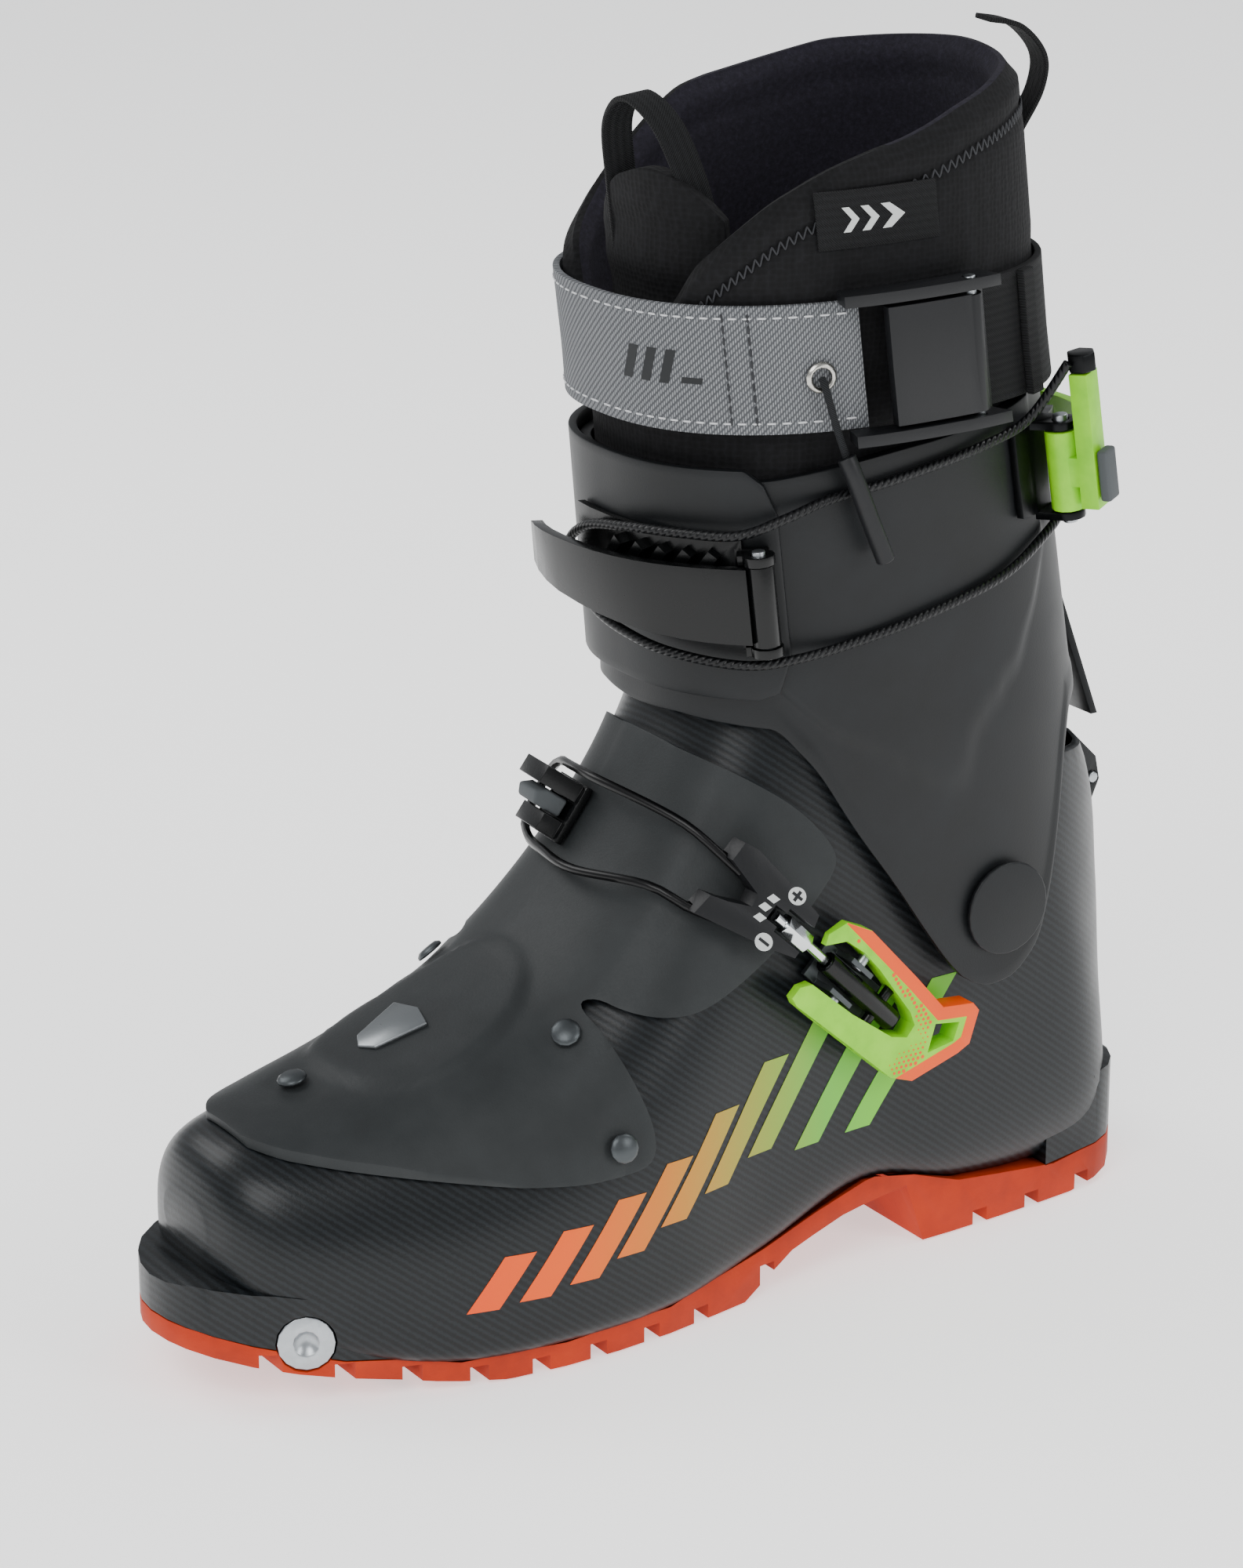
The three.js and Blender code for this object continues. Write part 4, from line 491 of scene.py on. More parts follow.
# Printed bars: a pad-printed band along the side, here slanted bars whose colour runs from orange to lime.
FADE_START, FADE_END = -85, 60  # y, mm
BAR_COLOURS = ["#F04E00", "#F05C04", "#D07A20", "#9E9A38", "#6CB83C", "#74CC2E"]
bar_ink, tree, bsdf = new_material("printed_ink", "#B79A45", 0.38)
position = add_node(tree, "ShaderNodeSeparateXYZ", {"Vector": place(tree)})
fade = add_node(tree, "ShaderNodeMapRange",
                {"Value": position.outputs["Y"], "From Min": FADE_START * MM, "From Max": FADE_END * MM})
paint(tree, bsdf, fade.outputs["Result"], BAR_COLOURS)
ink_grain = grain(tree, 0.6)
roughen(tree, bsdf, ink_grain, 0.32, 0.46)
emboss(tree, bsdf, ink_grain, 0.02)


def shell_place(y, z):
    """The slice and angle of the shell's outer side at a side-view place, y and z in mm."""
    low, high = 0, LAST_SLICE
    for _ in range(40):
        u = (low + high) / 2
        by, bz, ty, tz = (slice_value(c, u) for c in range(4))
        if (ty - by) * (z - bz) - (tz - bz) * (y - by) > 0:
            high = u
        else:
            low = u
    by, bz, ty, tz, _, _, widest, below, above = (slice_value(c, low) for c in range(9))
    share = ((y - by) * (ty - by) + (z - bz) * (tz - bz)) / ((ty - by) ** 2 + (tz - bz) ** 2)
    t = (share - widest) / ((1 - widest) if share >= widest else widest)
    power = (above if t >= 0 else below) / 2
    return low, math.degrees(math.asin(signed_power(max(-1.0, min(1.0, t)), power)))


def grid_quads(columns, rows):
    """Faces of a grid of points that is stored column by column."""
    n = rows + 1
    corners = [i * n + k for i in range(columns) for k in range(rows)]
    return [(c, c + n, c + n + 1, c + 1) for c in corners]


def shell_patch(name, outline, out, thickness, material, steps=6):
    """A thin patch on the shell's outer side: a side-view quad, (y, z) corners in mm, laid on the surface."""
    a, b, c, d = outline
    points = []
    for level in (out + thickness, out):
        for i in range(steps + 1):
            for k in range(steps + 1):
                s, t = i / steps, k / steps
                y = (a[0] * (1 - s) + b[0] * s) * (1 - t) + (d[0] * (1 - s) + c[0] * s) * t
                z = (a[1] * (1 - s) + b[1] * s) * (1 - t) + (d[1] * (1 - s) + c[1] * s) * t
                u, angle = shell_place(y, z)
                points.append(shell_point(u, angle, level))
    n = steps + 1
    quads = grid_quads(steps, steps)
    faces = quads + [tuple(n * n + v for v in q[::-1]) for q in quads]
    rim = [i * n for i in range(n)] + [steps * n + k for k in range(1, n)]
    rim += [i * n + steps for i in range(steps - 1, -1, -1)] + list(range(steps - 1, 0, -1))
    faces += [(a, b, n * n + b, n * n + a) for a, b in zip(rim, rim[1:] + rim[:1])]
    piece = mesh_piece(name, points, faces, material)
    edit(piece, outward)
    smooth(piece, 40)
    return piece


BARS = [  # y and z of each bar's foot, and its height, mm
    (-84, 22, 14), (-70, 23, 17), (-56, 25, 20), (-42, 29, 22), (-28, 34, 26), (-13, 39, 30), (3, 44, 34), (20, 41, 40),
    (38, 41, 38)]
BAR_WIDTH, BAR_LEAN = 8.5, 0.75  # the lean is a share of the height
INK_GAP, INK_THICKNESS = 0.02, 0.12
for i, (y, z, height) in enumerate(BARS):
    lean = height * BAR_LEAN
    outline = [(y, z), (y + BAR_WIDTH, z), (y + BAR_WIDTH + lean, z + height), (y + lean, z + height)]
    bar = shell_patch(f"printed_bar_{i}", outline, INK_GAP, INK_THICKNESS, bar_ink)
    assign(bar, "boot")

# -------------------------------------------------------------------------------- outsole
# Moulded rubber, rust-orange, with deep lugs under the ball and the heel; bonded to the shell's underside.
sole_rubber, tree, bsdf = new_material("vulcanised_rubber", "#B5451C", 0.62)
fine = grain(tree, 0.8)
dust = grain(tree, 22, 4)
paint(tree, bsdf, dust, ["#8E2202", "#B22E02", "#C43C0A"], [0.25, 0.55, 0.9])
roughen(tree, bsdf, dust, 0.55, 0.75)
emboss(tree, bsdf, fine, 0.08, 0.7)
outsole = from_cad("outsole", "outsole_lugs", sole_rubber, 0.7, 30)

# Binding inserts: zinc-coated steel, turned at the toe and stamped at the heel.
zinc_steel, tree, bsdf = new_material("zinc_coated_steel", "#B9BEC2", 0.34, 1.0)
blotch = grain(tree, 3, 4)
paint(tree, bsdf, blotch, ["#9A9FA3", "#C4C8CB"])
roughen(tree, bsdf, blotch, 0.25, 0.45)
emboss(tree, bsdf, grain(tree, 0.5), 0.02)
for node in ("toe_insert_outer", "toe_insert_inner", "heel_insert"):
    from_cad(node, node + "_zinc", zinc_steel, 0.35)

# Boot board: a moulded footbed under the liner, hardly seen.
board_plastic, tree, bsdf = new_material("moulded_polypropylene", "#2A2C30", 0.7)
emboss(tree, bsdf, grain(tree, 1.2), 0.05)
from_cad("boot_board", "boot_board_moulded", board_plastic, 0.4)

# -------------------------------------------------------------------------------- instep cover
# A soft grey over-moulding wraps the instep and both sides, held by five rivets. It is raised along a ridge.
# Its skin is matt with a fine leather-like grain, and each rivet sits in a shallow dish.
cover_skin, tree, bsdf = new_material("soft_touch_polyurethane", "#3B3F41", 0.6)
speck = grain(tree, 0.7, 2)
cloud = grain(tree, 18, 3)
paint(tree, bsdf, cloud, ["#212425", "#252829", "#2A2D2E"], [0.3, 0.5, 0.75])
roughen(tree, bsdf, speck, 0.46, 0.6)
emboss(tree, bsdf, speck, 0.07, 0.6)
COVER_EDGE = [
    (-126, 100), (-127, 64), (-122, 63), (-106, 60), (-87, 57), (-70, 54), (-52, 52), (-39, 52), (-31, 54), (-30, 62),
    (-34, 76), (-37, 86), (-39, 91), (-35, 93), (-30, 90), (-20, 88), (-9, 89), (6, 95), (17, 102), (27, 110), (34, 118),
    (33, 124), (24, 135), (10, 145), (-2, 151), (-32, 200)]
COVER_FRONT = [  # outer half of the outline in plan
    (8, -127), (18, -122), (25, -114), (31.5, -105.5), (43, -87), (50.5, -70), (60, -50), (72, -30), (72, 170)]
COVER_GAP, COVER_THICKNESS = 0.4, 2.6
RIVETS = {  # slice and angle
    "cover_rivet_front": (3.06, 93), "cover_rivet_upper_outer": (4.94, 57), "cover_rivet_lower_outer": (5.24, 21),
    "cover_rivet_upper_inner": (4.94, 123), "cover_rivet_lower_inner": (5.24, 159)}
DISH_DEPTH = 0.42


def soft_step(low, high, value):
    t = max(0.0, min(1.0, (value - low) / (high - low)))
    return t * t * (3 - 2 * t)


def cover_out(u, angle):
    """The cover stands a little higher along a ridge down the instep and on a mound round the badge."""
    side = angle - 92
    ridge = 0.9 * soft_step(7, 3, side) * soft_step(-40, -30, side) * soft_step(4.9, 5.3, u)
    reach = math.hypot(side / 25, (u - 4.05) / (0.72 if u < 4.05 else 1.1))
    mound = 1.5 * soft_step(1.0, 0.88, reach)
    dishes = sum(soft_step(1.0, 0.6, math.hypot((angle - a) / 11, (u - v) / 0.3)) for v, a in RIVETS.values())
    return COVER_GAP + COVER_THICKNESS + ridge + mound - DISH_DEPTH * dishes


cover = shell_loft("instep_cover_skin", cover_out, 0, cover_skin, 230, 170)
cut(cover, side_prism("cover_edge", rounded(COVER_EDGE, 2), 150, cover_skin), "INTERSECT")
plan = [(x * side, y) for side, half in ((1, COVER_FRONT), (-0.93, COVER_FRONT[::-1])) for x, y in half]
front = side_prism("cover_front", rounded(plan, 2), 600, cover_skin)
front.data.transform(Matrix(((0, 1, 0, 0), (0, 0, 1, 0), (1, 0, 0, 0), (0, 0, 0, 1))))  # the plan, stood upright
edit(front, outward)
cut(cover, front, "INTERSECT")
cut(cover, shell_loft("cover_inside", COVER_GAP, 0, cover_skin, 100, 96))
tidy(cover, 0.8, 40, 3)
assign(cover, "boot", "instep_cover")

# Rivets: blackened steel, domed, with a turned dimple.
blackened_steel, tree, bsdf = new_material("blackened_steel", "#4A4E50", 0.38, 0.8)
brushed = grain(tree, 0.9, 3)
roughen(tree, bsdf, brushed, 0.3, 0.48)
emboss(tree, bsdf, brushed, 0.02)
for node in RIVETS:
    from_cad(node, node + "_domed", blackened_steel, 0.3)

# Badge: a small brushed alloy plate with a plain raised triangle.
brushed_alloy, tree, bsdf = new_material("brushed_aluminium", "#8D9193", 0.32, 1.0)
lines = grain(tree, 3, 3, stretch=(1, 12, 12))
roughen(tree, bsdf, lines, 0.22, 0.42)
emboss(tree, bsdf, lines, 0.02)
from_cad("badge", "badge_plate", brushed_alloy, 0.4)

# -------------------------------------------------------------------------------- cuff
# Moulded nylon, satin grey-black, 3 mm thick, turning on two ankle rivets, with a raised V panel on each side.
cuff_nylon, tree, bsdf = new_material("satin_moulded_nylon", "#24272A", 0.46)
grit = grain(tree, 0.5, 2)
cloud = grain(tree, 20, 3)
paint(tree, bsdf, cloud, ["#0C0E0F", "#121416", "#181B1D"], [0.3, 0.55, 0.85])
roughen(tree, bsdf, cloud, 0.38, 0.54)
emboss(tree, bsdf, grit, 0.05, 0.6)
CUFF_LOWER_EDGE = [
    (-90, 158), (-74, 159), (-56, 158), (-42, 157), (-32, 145), (-24, 128), (-15, 111), (-3, 83), (1, 76), (9, 77),
    (18, 85), (25, 101), (37, 134), (44, 146), (60, 150), (75, 151), (77, 174), (90, 176)]
CUFF_UPPER_EDGE = [(-90, 226), (-40, 224), (0, 230), (50, 238), (90, 240)]
CUFF_WALL = 3


def folded(angle):
    """An angle mirrored onto the outer half: -90 at the shin, 0 at the side and 90 at the heel."""
    a = ((angle + 450) % 360) - 90
    return 180 - a if a > 90 else a


def softened(pairs, key, reach):
    """A look-up averaged over a short reach, so that its corners come out round."""
    steps = 8
    return sum(look_up(pairs, folded(key + reach * (i / steps - 0.5))) for i in range(steps + 1)) / (steps + 1)


V_PANEL = [(137, -2, 1), (150, -16, 4), (155, -26, 8), (168, -40, 20), (194, -60, 37)]  # z, front and back angle


def cuff_relief(angle, z):
    """The V-shaped side panel stands 0.85 mm proud, and a rim follows the cuff's lower edge."""
    a = folded(angle)
    front = look_up([(h, f) for h, f, _ in V_PANEL], z)
    back = look_up([(h, b) for h, _, b in V_PANEL], z)
    across = soft_step(front - 1.6, front + 0.4, a) * soft_step(back + 1.6, back - 0.4, a)
    inside = across * soft_step(134, 139, z)
    rim = 0.5 * soft_step(7, 4, z - look_up(CUFF_LOWER_EDGE, a)) * soft_step(170, 150, z)
    return 0.85 * inside + rim - 0.9


def ring_shell(name, low, high, inner, outer, material, columns=220, rows=44):
    """A closed wall round the leg between two edges; low and high take an angle, inner and outer also z."""
    points, faces = [], []
    for side in (outer, inner):
        for i in range(rows + 1):
            for k in range(columns):
                angle = 360 * k / columns - 90
                z = low(angle) + (high(angle) - low(angle)) * i / rows
                points.append(cuff_point(angle, z, side(angle, z)))
    n = (rows + 1) * columns
    for i in range(rows):
        for k in range(columns):
            a, b = i * columns + k, i * columns + (k + 1) % columns
            faces += [(a, b, b + columns, a + columns), (n + a, n + a + columns, n + b + columns, n + b)]
    top = rows * columns
    for a in range(columns):
        b = (a + 1) % columns
        faces += [(a, n + a, n + b, b), (top + a, top + b, n + top + b, n + top + a)]
    piece = mesh_piece(name, points, faces, material)
    edit(piece, outward)
    return piece


cuff = ring_shell(
    "cuff_body", lambda a: softened(CUFF_LOWER_EDGE, a, 5), lambda a: softened(CUFF_UPPER_EDGE, a, 12),
    lambda a, z: -CUFF_WALL, lambda a, z: max(cuff_relief(a, z), -1.2), cuff_nylon)
tidy(cuff, 0.7, 40, 3)
assign(cuff, "cuff", "cuff_shell")
for node in ("pivot_cover_outer", "pivot_cover_inner"):
    from_cad(node, node + "_cap", cuff_nylon, 0.5, 35, 3)
for node in ("pivot_drum_outer", "pivot_drum_inner"):
    from_cad(node, node + "_turned", blackened_steel, 0.4)


def cuff_sheet(name, start, end, low, high, out, thickness, material, columns=60, rows=10, bevel_mm=0.3):
    """A curved plate on the cuff between two angles and two heights, with its run and z in mm as its UV map."""
    value = lambda v, *at: v(*at) if callable(v) else v
    points, uvs = [], []
    for level in (thickness, 0):
        run, last = 0.0, None
        for i in range(columns + 1):
            angle = start + (end - start) * i / columns
            middle = cuff_point(angle, (value(low, angle) + value(high, angle)) / 2, 0)
            run += (middle - last).length / MM if last else 0
            last = middle
            for k in range(rows + 1):
                z = value(low, angle) + (value(high, angle) - value(low, angle)) * k / rows
                points.append(cuff_point(angle, z, value(out, angle, z) + level))
                uvs.append((run, z))
    n, r = (columns + 1) * (rows + 1), rows + 1
    quads = grid_quads(columns, rows)
    faces = quads + [tuple(n + v for v in q[::-1]) for q in quads]
    for i in range(columns):
        faces += [(i * r, n + i * r, n + (i + 1) * r, (i + 1) * r),
                  (i * r + rows, (i + 1) * r + rows, n + (i + 1) * r + rows, n + i * r + rows)]
    last = columns * r
    for k in range(rows):
        faces += [(k, k + 1, n + k + 1, n + k), (last + k, n + last + k, n + last + k + 1, last + k + 1)]
    piece = mesh_piece(name, points, faces, material)
    lay_uv(piece, uvs)
    edit(piece, outward)
    round_edges(piece, bevel_mm, 2, 50)
    smooth(piece, 40)
    return piece


# Overlap flap: a thinner moulded tongue of the cuff, wrapped over the shin from the inner side, its corners clipped.
FLAP_LOW, FLAP_HIGH = 166, 228
FLAP_LOW_CLIP = [(-152, 4), (-140, 0), (-46, 0), (-40, 2), (-36, 12)]  # angle, and how far it is cut back
FLAP_HIGH_CLIP = [(-152, 4), (-140, 0), (-44, 0), (-39, 4), (-36, 12)]
flap = cuff_sheet(
    "cuff_flap_moulded", -152, -36, lambda a: FLAP_LOW + look_up(FLAP_LOW_CLIP, a),
    lambda a: FLAP_HIGH - look_up(FLAP_HIGH_CLIP, a), 0.4, 2.2, cuff_nylon, 110, 24, 0.6)
assign(flap, "cuff", "cuff_flap")

# -------------------------------------------------------------------------------- front rack and lever
# Glass-filled nylon, glossy black: a rack of slanted hooks riveted to the flap, under a long flat lever.
gloss_nylon, tree, bsdf = new_material("glossy_filled_nylon", "#0E0F11", 0.24)
swirl = grain(tree, 6, 3)
paint(tree, bsdf, swirl, ["#040505", "#090A0B"])
roughen(tree, bsdf, swirl, 0.18, 0.34)
emboss(tree, bsdf, grain(tree, 0.9), 0.03, 0.5)
for node, bevel in (("front_rack", 0.5), ("front_lever", 0.9)):
    from_cad(node, node + "_moulded", gloss_nylon, bevel, 35, 3)
for node in ("front_lever_pin", "rear_lever_pin", "strap_buckle_pin", "lock_bar_pin", "lock_catch_pin"):
    from_cad(node, node + "_steel", zinc_steel, 0.3)

# -------------------------------------------------------------------------------- rear lever and walk lock
# The lever is cast magnesium in a lime powder coat; its bracket, eye and lock bar are black anodised aluminium.
lime_coat, tree, bsdf = new_material("lime_powder_coat", "#A4DF55", 0.36)
peel = grain(tree, 1.1, 2)
cloud = grain(tree, 9, 3)
paint(tree, bsdf, cloud, ["#7CCB12", "#8CD91C", "#9CE42E"], [0.3, 0.55, 0.85])
roughen(tree, bsdf, peel, 0.3, 0.44)
emboss(tree, bsdf, peel, 0.04, 0.5)
black_anodised, tree, bsdf = new_material("black_anodised_aluminium", "#15171A", 0.32, 0.75)
satin = grain(tree, 1.6, 3)
paint(tree, bsdf, satin, ["#08090A", "#121416"])
roughen(tree, bsdf, satin, 0.24, 0.42)
emboss(tree, bsdf, satin, 0.015)
from_cad("rear_lever", "rear_lever_cast", lime_coat, 0.8, 40, 3)
for node in ("rear_bracket", "cable_eye", "cable_anchor", "lock_bracket", "lock_bar"):
    from_cad(node, node + "_anodised", black_anodised, 0.4)
pad_rubber, tree, bsdf = new_material("grey_moulded_rubber", "#4C5052", 0.7)
emboss(tree, bsdf, grain(tree, 0.8), 0.06)
for node in ("lever_pad", "instep_rack_pad"):
    from_cad(node, node + "_rubber", pad_rubber, 0.8, 35, 3)
from_cad("lock_catch", "lock_catch_moulded", cuff_nylon, 0.6)

# -------------------------------------------------------------------------------- cables
# Seven-strand steel cable in a black nylon coat that lets the strands' twist show.
cable_coat, tree, bsdf = new_material("nylon_coated_cable", "#111214", 0.36)
along = place(tree, (330, 3, 1), source="UV")
twist = add_node(tree, "ShaderNodeTexWave", {"Vector": along, "Scale": 1, "Distortion": 0.0},
                 bands_direction="DIAGONAL").outputs["Fac"]
paint(tree, bsdf, twist, ["#050506", "#121315"])
roughen(tree, bsdf, twist, 0.3, 0.46)
emboss(tree, bsdf, twist, 0.14)
CABLE_DIAMETER = 2.6 * MM
CABLE_GAP = 0.4
cable_lift = CABLE_DIAMETER / MM / 2 + CABLE_GAP
UPPER_CABLE = [
    (26, 232, 3.5), (12, 227, 0.6), (-6, 222.5, 0), (-22, 219.5, 0), (-34, 216, 3.4), (-46, 212.5, 6.5), (-62, 212, 6),
    (-78, 211, 6), (-92, 207, 6), (-103, 197, 5.6), (-92, 185, 6), (-78, 180.5, 6), (-62, 178.5, 6), (-46, 177.5, 6),
    (-34, 178.5, 3.4), (-20, 180.5, 0), (-4, 184.5, 0), (14, 190.5, 0), (32, 197, 0), (50, 200.5, 0), (66, 205, 0)]
eye_low, eye_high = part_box("cable_eye")
eye_side = Vector((
    (eye_low[0] + eye_high[0]) / 2 + 0.2 * MM, eye_low[1] - 0.3 * MM, (eye_low[2] + eye_high[2]) / 2))
upper_points = [eye_side] + [cuff_point(a, z, cable_lift + extra) for a, z, extra in UPPER_CABLE]
upper, _ = tube_piece("upper_cable_coated", upper_points, CABLE_DIAMETER, cable_coat, 14, 8)
assign(upper, "cuff", "upper_cable")
from_cad("lower_cable", "lower_cable_coated", cable_coat, 0, 60)

# -------------------------------------------------------------------------------- power strap
# Grey polyester webbing in a twill goes round the back; ribbed black webbing is sewn to it, through a keeper.
grey_webbing, tree, bsdf = new_material("grey_twill_webbing", "#8E9092", 0.82)
along = place(tree, source="UV")
twill = add_node(
    tree, "ShaderNodeTexWave", {"Vector": along, "Scale": 0.36, "Distortion": 0.6, "Detail Scale": 2.0},
    bands_direction="DIAGONAL").outputs["Fac"]
cross = add_node(tree, "ShaderNodeTexWave", {"Vector": along, "Scale": 0.5, "Distortion": 0.3},
                 bands_direction="X").outputs["Fac"]
weave = add_node(tree, "ShaderNodeMath", {0: twill, 1: cross}, operation="MULTIPLY_ADD").outputs["Value"]
paint(tree, bsdf, weave, ["#3F4144", "#66686B", "#939598"], [0.45, 0.75, 1.0])
emboss(tree, bsdf, weave, 0.25)
black_webbing, tree, bsdf = new_material("black_ribbed_webbing", "#17181A", 0.78)
along = place(tree, source="UV")
rib = add_node(tree, "ShaderNodeTexWave", {"Vector": along, "Scale": 0.16, "Distortion": 0.0},
               bands_direction="Y").outputs["Fac"]
thread = add_node(tree, "ShaderNodeTexWave", {"Vector": along, "Scale": 0.9, "Distortion": 0.8},
                  bands_direction="DIAGONAL").outputs["Fac"]
weave = add_node(tree, "ShaderNodeMath", {0: rib, 1: 0.65, 2: thread}, operation="MULTIPLY_ADD").outputs["Value"]
paint(tree, bsdf, weave, ["#050506", "#0D0E0F", "#18191B"], [0.2, 0.7, 1.0])
emboss(tree, bsdf, weave, 0.35)
STRAP_LOW, STRAP_HIGH, STRAP_OUT, WEBBING = 237.5, 271, 0.8, 1.8
KEEPER_OUT = STRAP_OUT + WEBBING + 0.4
STRAPS = [  # name, start and end angle, how far out, cloth, columns, slot, CAD node
    ("grey_power_strap", -11, -247, STRAP_OUT, grey_webbing, 160, "webbing_grey", "grey_strap"),
    ("black_power_strap", 12, 112, STRAP_OUT, black_webbing, 80, "webbing_black", "black_strap"),
    ("strap_keeper_loop", 30, 36, KEEPER_OUT, black_webbing, 8, "webbing_black", "strap_keeper")]
for name, start, end, out, cloth, columns, slot, node in STRAPS:
    strap = cuff_sheet(name, start, end, STRAP_LOW, STRAP_HIGH, out, WEBBING, cloth, columns, 10)
    assign(strap, "cuff", node)

# Stitching: bonded nylon thread, in runs of short stitches about 2 mm long.
thread_nylon, tree, bsdf = new_material("bonded_nylon_thread", "#C9CACC", 0.6)
emboss(tree, bsdf, grain(tree, 0.4), 0.05)
dark_thread, tree, bsdf = new_material("dark_nylon_thread", "#2C2D30", 0.6)
emboss(tree, bsdf, grain(tree, 0.4), 0.05)


def stitches(name, places, material, radius=0.33):
    """Short stitches, each a small rounded bar between two places on the cuff: (angle, z, out) pairs."""
    points, faces = [], []
    for start, end in places:
        a, b = cuff_point(*start), cuff_point(*end)
        forward = (b - a).normalized()
        outwards = (cuff_point(start[0], start[1], start[2] + 1) - a).normalized()
        across = forward.cross(outwards).normalized()
        base = len(points)
        for share, grown in ((0, 0.35), (0.15, 1), (0.85, 1), (1, 0.35)):
            middle = a + (b - a) * share
            for k in range(6):
                turn = 2 * math.pi * k / 6
                spoke = across * math.cos(turn) + outwards * math.sin(turn)
                points.append(middle + spoke * radius * MM * grown)
        faces += loft_faces(4, 6, base)
    piece = mesh_piece(name, points, faces, material)
    edit(piece, outward)
    smooth(piece, 60)
    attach(piece, "cuff")
    return piece


STRAP_FACE = STRAP_OUT + WEBBING + 0.12
EDGE_ROW = 3  # how far a row is from the strap's edge, mm
STITCH_TURN, TACK_LENGTH = 2.4, 2.2  # a stitch along the strap, in degrees, and one across it, in mm
rows = [((a, z, STRAP_FACE), (a - STITCH_TURN, z, STRAP_FACE))
        for z in (STRAP_LOW + EDGE_ROW, STRAP_HIGH - EDGE_ROW) for a in range(-14, -244, -4)]
stitches("grey_strap_stitching", rows, thread_nylon, 0.28)
tacks = [((a, z, STRAP_FACE), (a, z + TACK_LENGTH, STRAP_FACE))
         for a in (-39, -46, 40) for z in range(240, 268, 3)]
stitches("strap_bar_tacks", tacks, dark_thread)

# Cam buckle: acetal, satin black, and a nickel-plated brass eyelet pressed into the strap.
acetal, tree, bsdf = new_material("moulded_acetal", "#151618", 0.4)
grit = grain(tree, 0.7, 2)
roughen(tree, bsdf, grit, 0.34, 0.5)
emboss(tree, bsdf, grit, 0.04, 0.6)
for node, bevel in (("strap_buckle_frame", 0.7), ("strap_cam", 0.8)):
    from_cad(node, node + "_acetal", acetal, bevel, 35, 3)
nickel, tree, bsdf = new_material("nickel_plated_brass", "#B8B6B0", 0.22, 1.0)
roughen(tree, bsdf, grain(tree, 1.2), 0.15, 0.35)
from_cad("strap_eyelet", "strap_eyelet_pressed", nickel, 0.2)

# -------------------------------------------------------------------------------- liner
# Heat-mouldable foam, 7 mm thick, covered with black spacer mesh outside and dark violet-grey pile inside.
liner_mesh, tree, bsdf = new_material("polyester_spacer_mesh", "#1B1B20", 0.9)
cells = add_node(tree, "ShaderNodeTexVoronoi", {"Vector": place(tree), "Scale": 620, "Randomness": 0.35})
paint(tree, bsdf, cells.outputs["Distance"], ["#040405", "#0A0A0C", "#141417"], [0.1, 0.5, 0.9])
emboss(tree, bsdf, cells.outputs["Distance"], 0.3, 0.8)
pile, tree, bsdf = new_material("brushed_polyester_pile", "#3A3742", 0.95)
tufts = grain(tree, 1.3, 4, 0.7)
paint(tree, bsdf, tufts, ["#17151C", "#211F28", "#2D2A36"], [0.3, 0.55, 0.8])
emboss(tree, bsdf, tufts, 0.35, 0.8)
LINER_RIM = [
    (-180, 311), (-166, 300), (-156, 293), (-140, 284), (-120, 276), (-108, 264), (-70, 264), (-60, 273), (-56, 279),
    (-44, 287), (-30, 296), (-15, 303), (0, 308), (20, 315), (45, 320), (90, 323), (143, 319), (180, 311)]
LINER_SPREAD = [(236, -3.8), (262, 0.1), (340, 0.1)]
LINER_WALL, LINER_LOW = 7, 200


def rim_height(angle):
    """The liner's rim over the leg's angle, averaged over 7 degrees."""
    steps = 6
    wrapped = lambda a: (a + 540) % 360 - 180
    return sum(look_up(LINER_RIM, wrapped(angle + 7 * (i / steps - 0.5))) for i in range(steps + 1)) / (steps + 1)


def liner_puff(angle, z, rim):
    """The foam bulges between its sewn rim channel and the strap, and rounds over at the rim."""
    down = rim - z
    channel = 0.9 * math.exp(-((down - 11) / 1.6) ** 2)
    rounding = 3.0 * soft_step(4.5, 0.0, down)
    swell = 0.5 * soft_step(6, 22, down) * soft_step(272, 280, z)
    return swell - channel * soft_step(268, 275, z) - rounding


shaft = ring_shell(
    "liner_shaft_foam", lambda a: LINER_LOW, rim_height,
    lambda a, z: look_up(LINER_SPREAD, z) - LINER_WALL + max(-liner_puff(a, z, rim_height(a)), 0) * 0.8,
    lambda a, z: look_up(LINER_SPREAD, z) + min(liner_puff(a, z, rim_height(a)), 0.4), liner_mesh, 240, 60)
shaft.data.materials.append(pile)
for polygon in shaft.data.polygons:
    middle = polygon.center / MM
    centre = Vector((0, 66 - (middle.z - 150) / 8, middle.z))
    polygon.material_index = 1 if polygon.normal.dot(middle - centre) < 0 else 0
smooth(shaft, 60)
assign(shaft, "cuff", "liner_shaft")
foot = from_cad("liner_foot", "liner_foot_foam", liner_mesh, 0, 50)
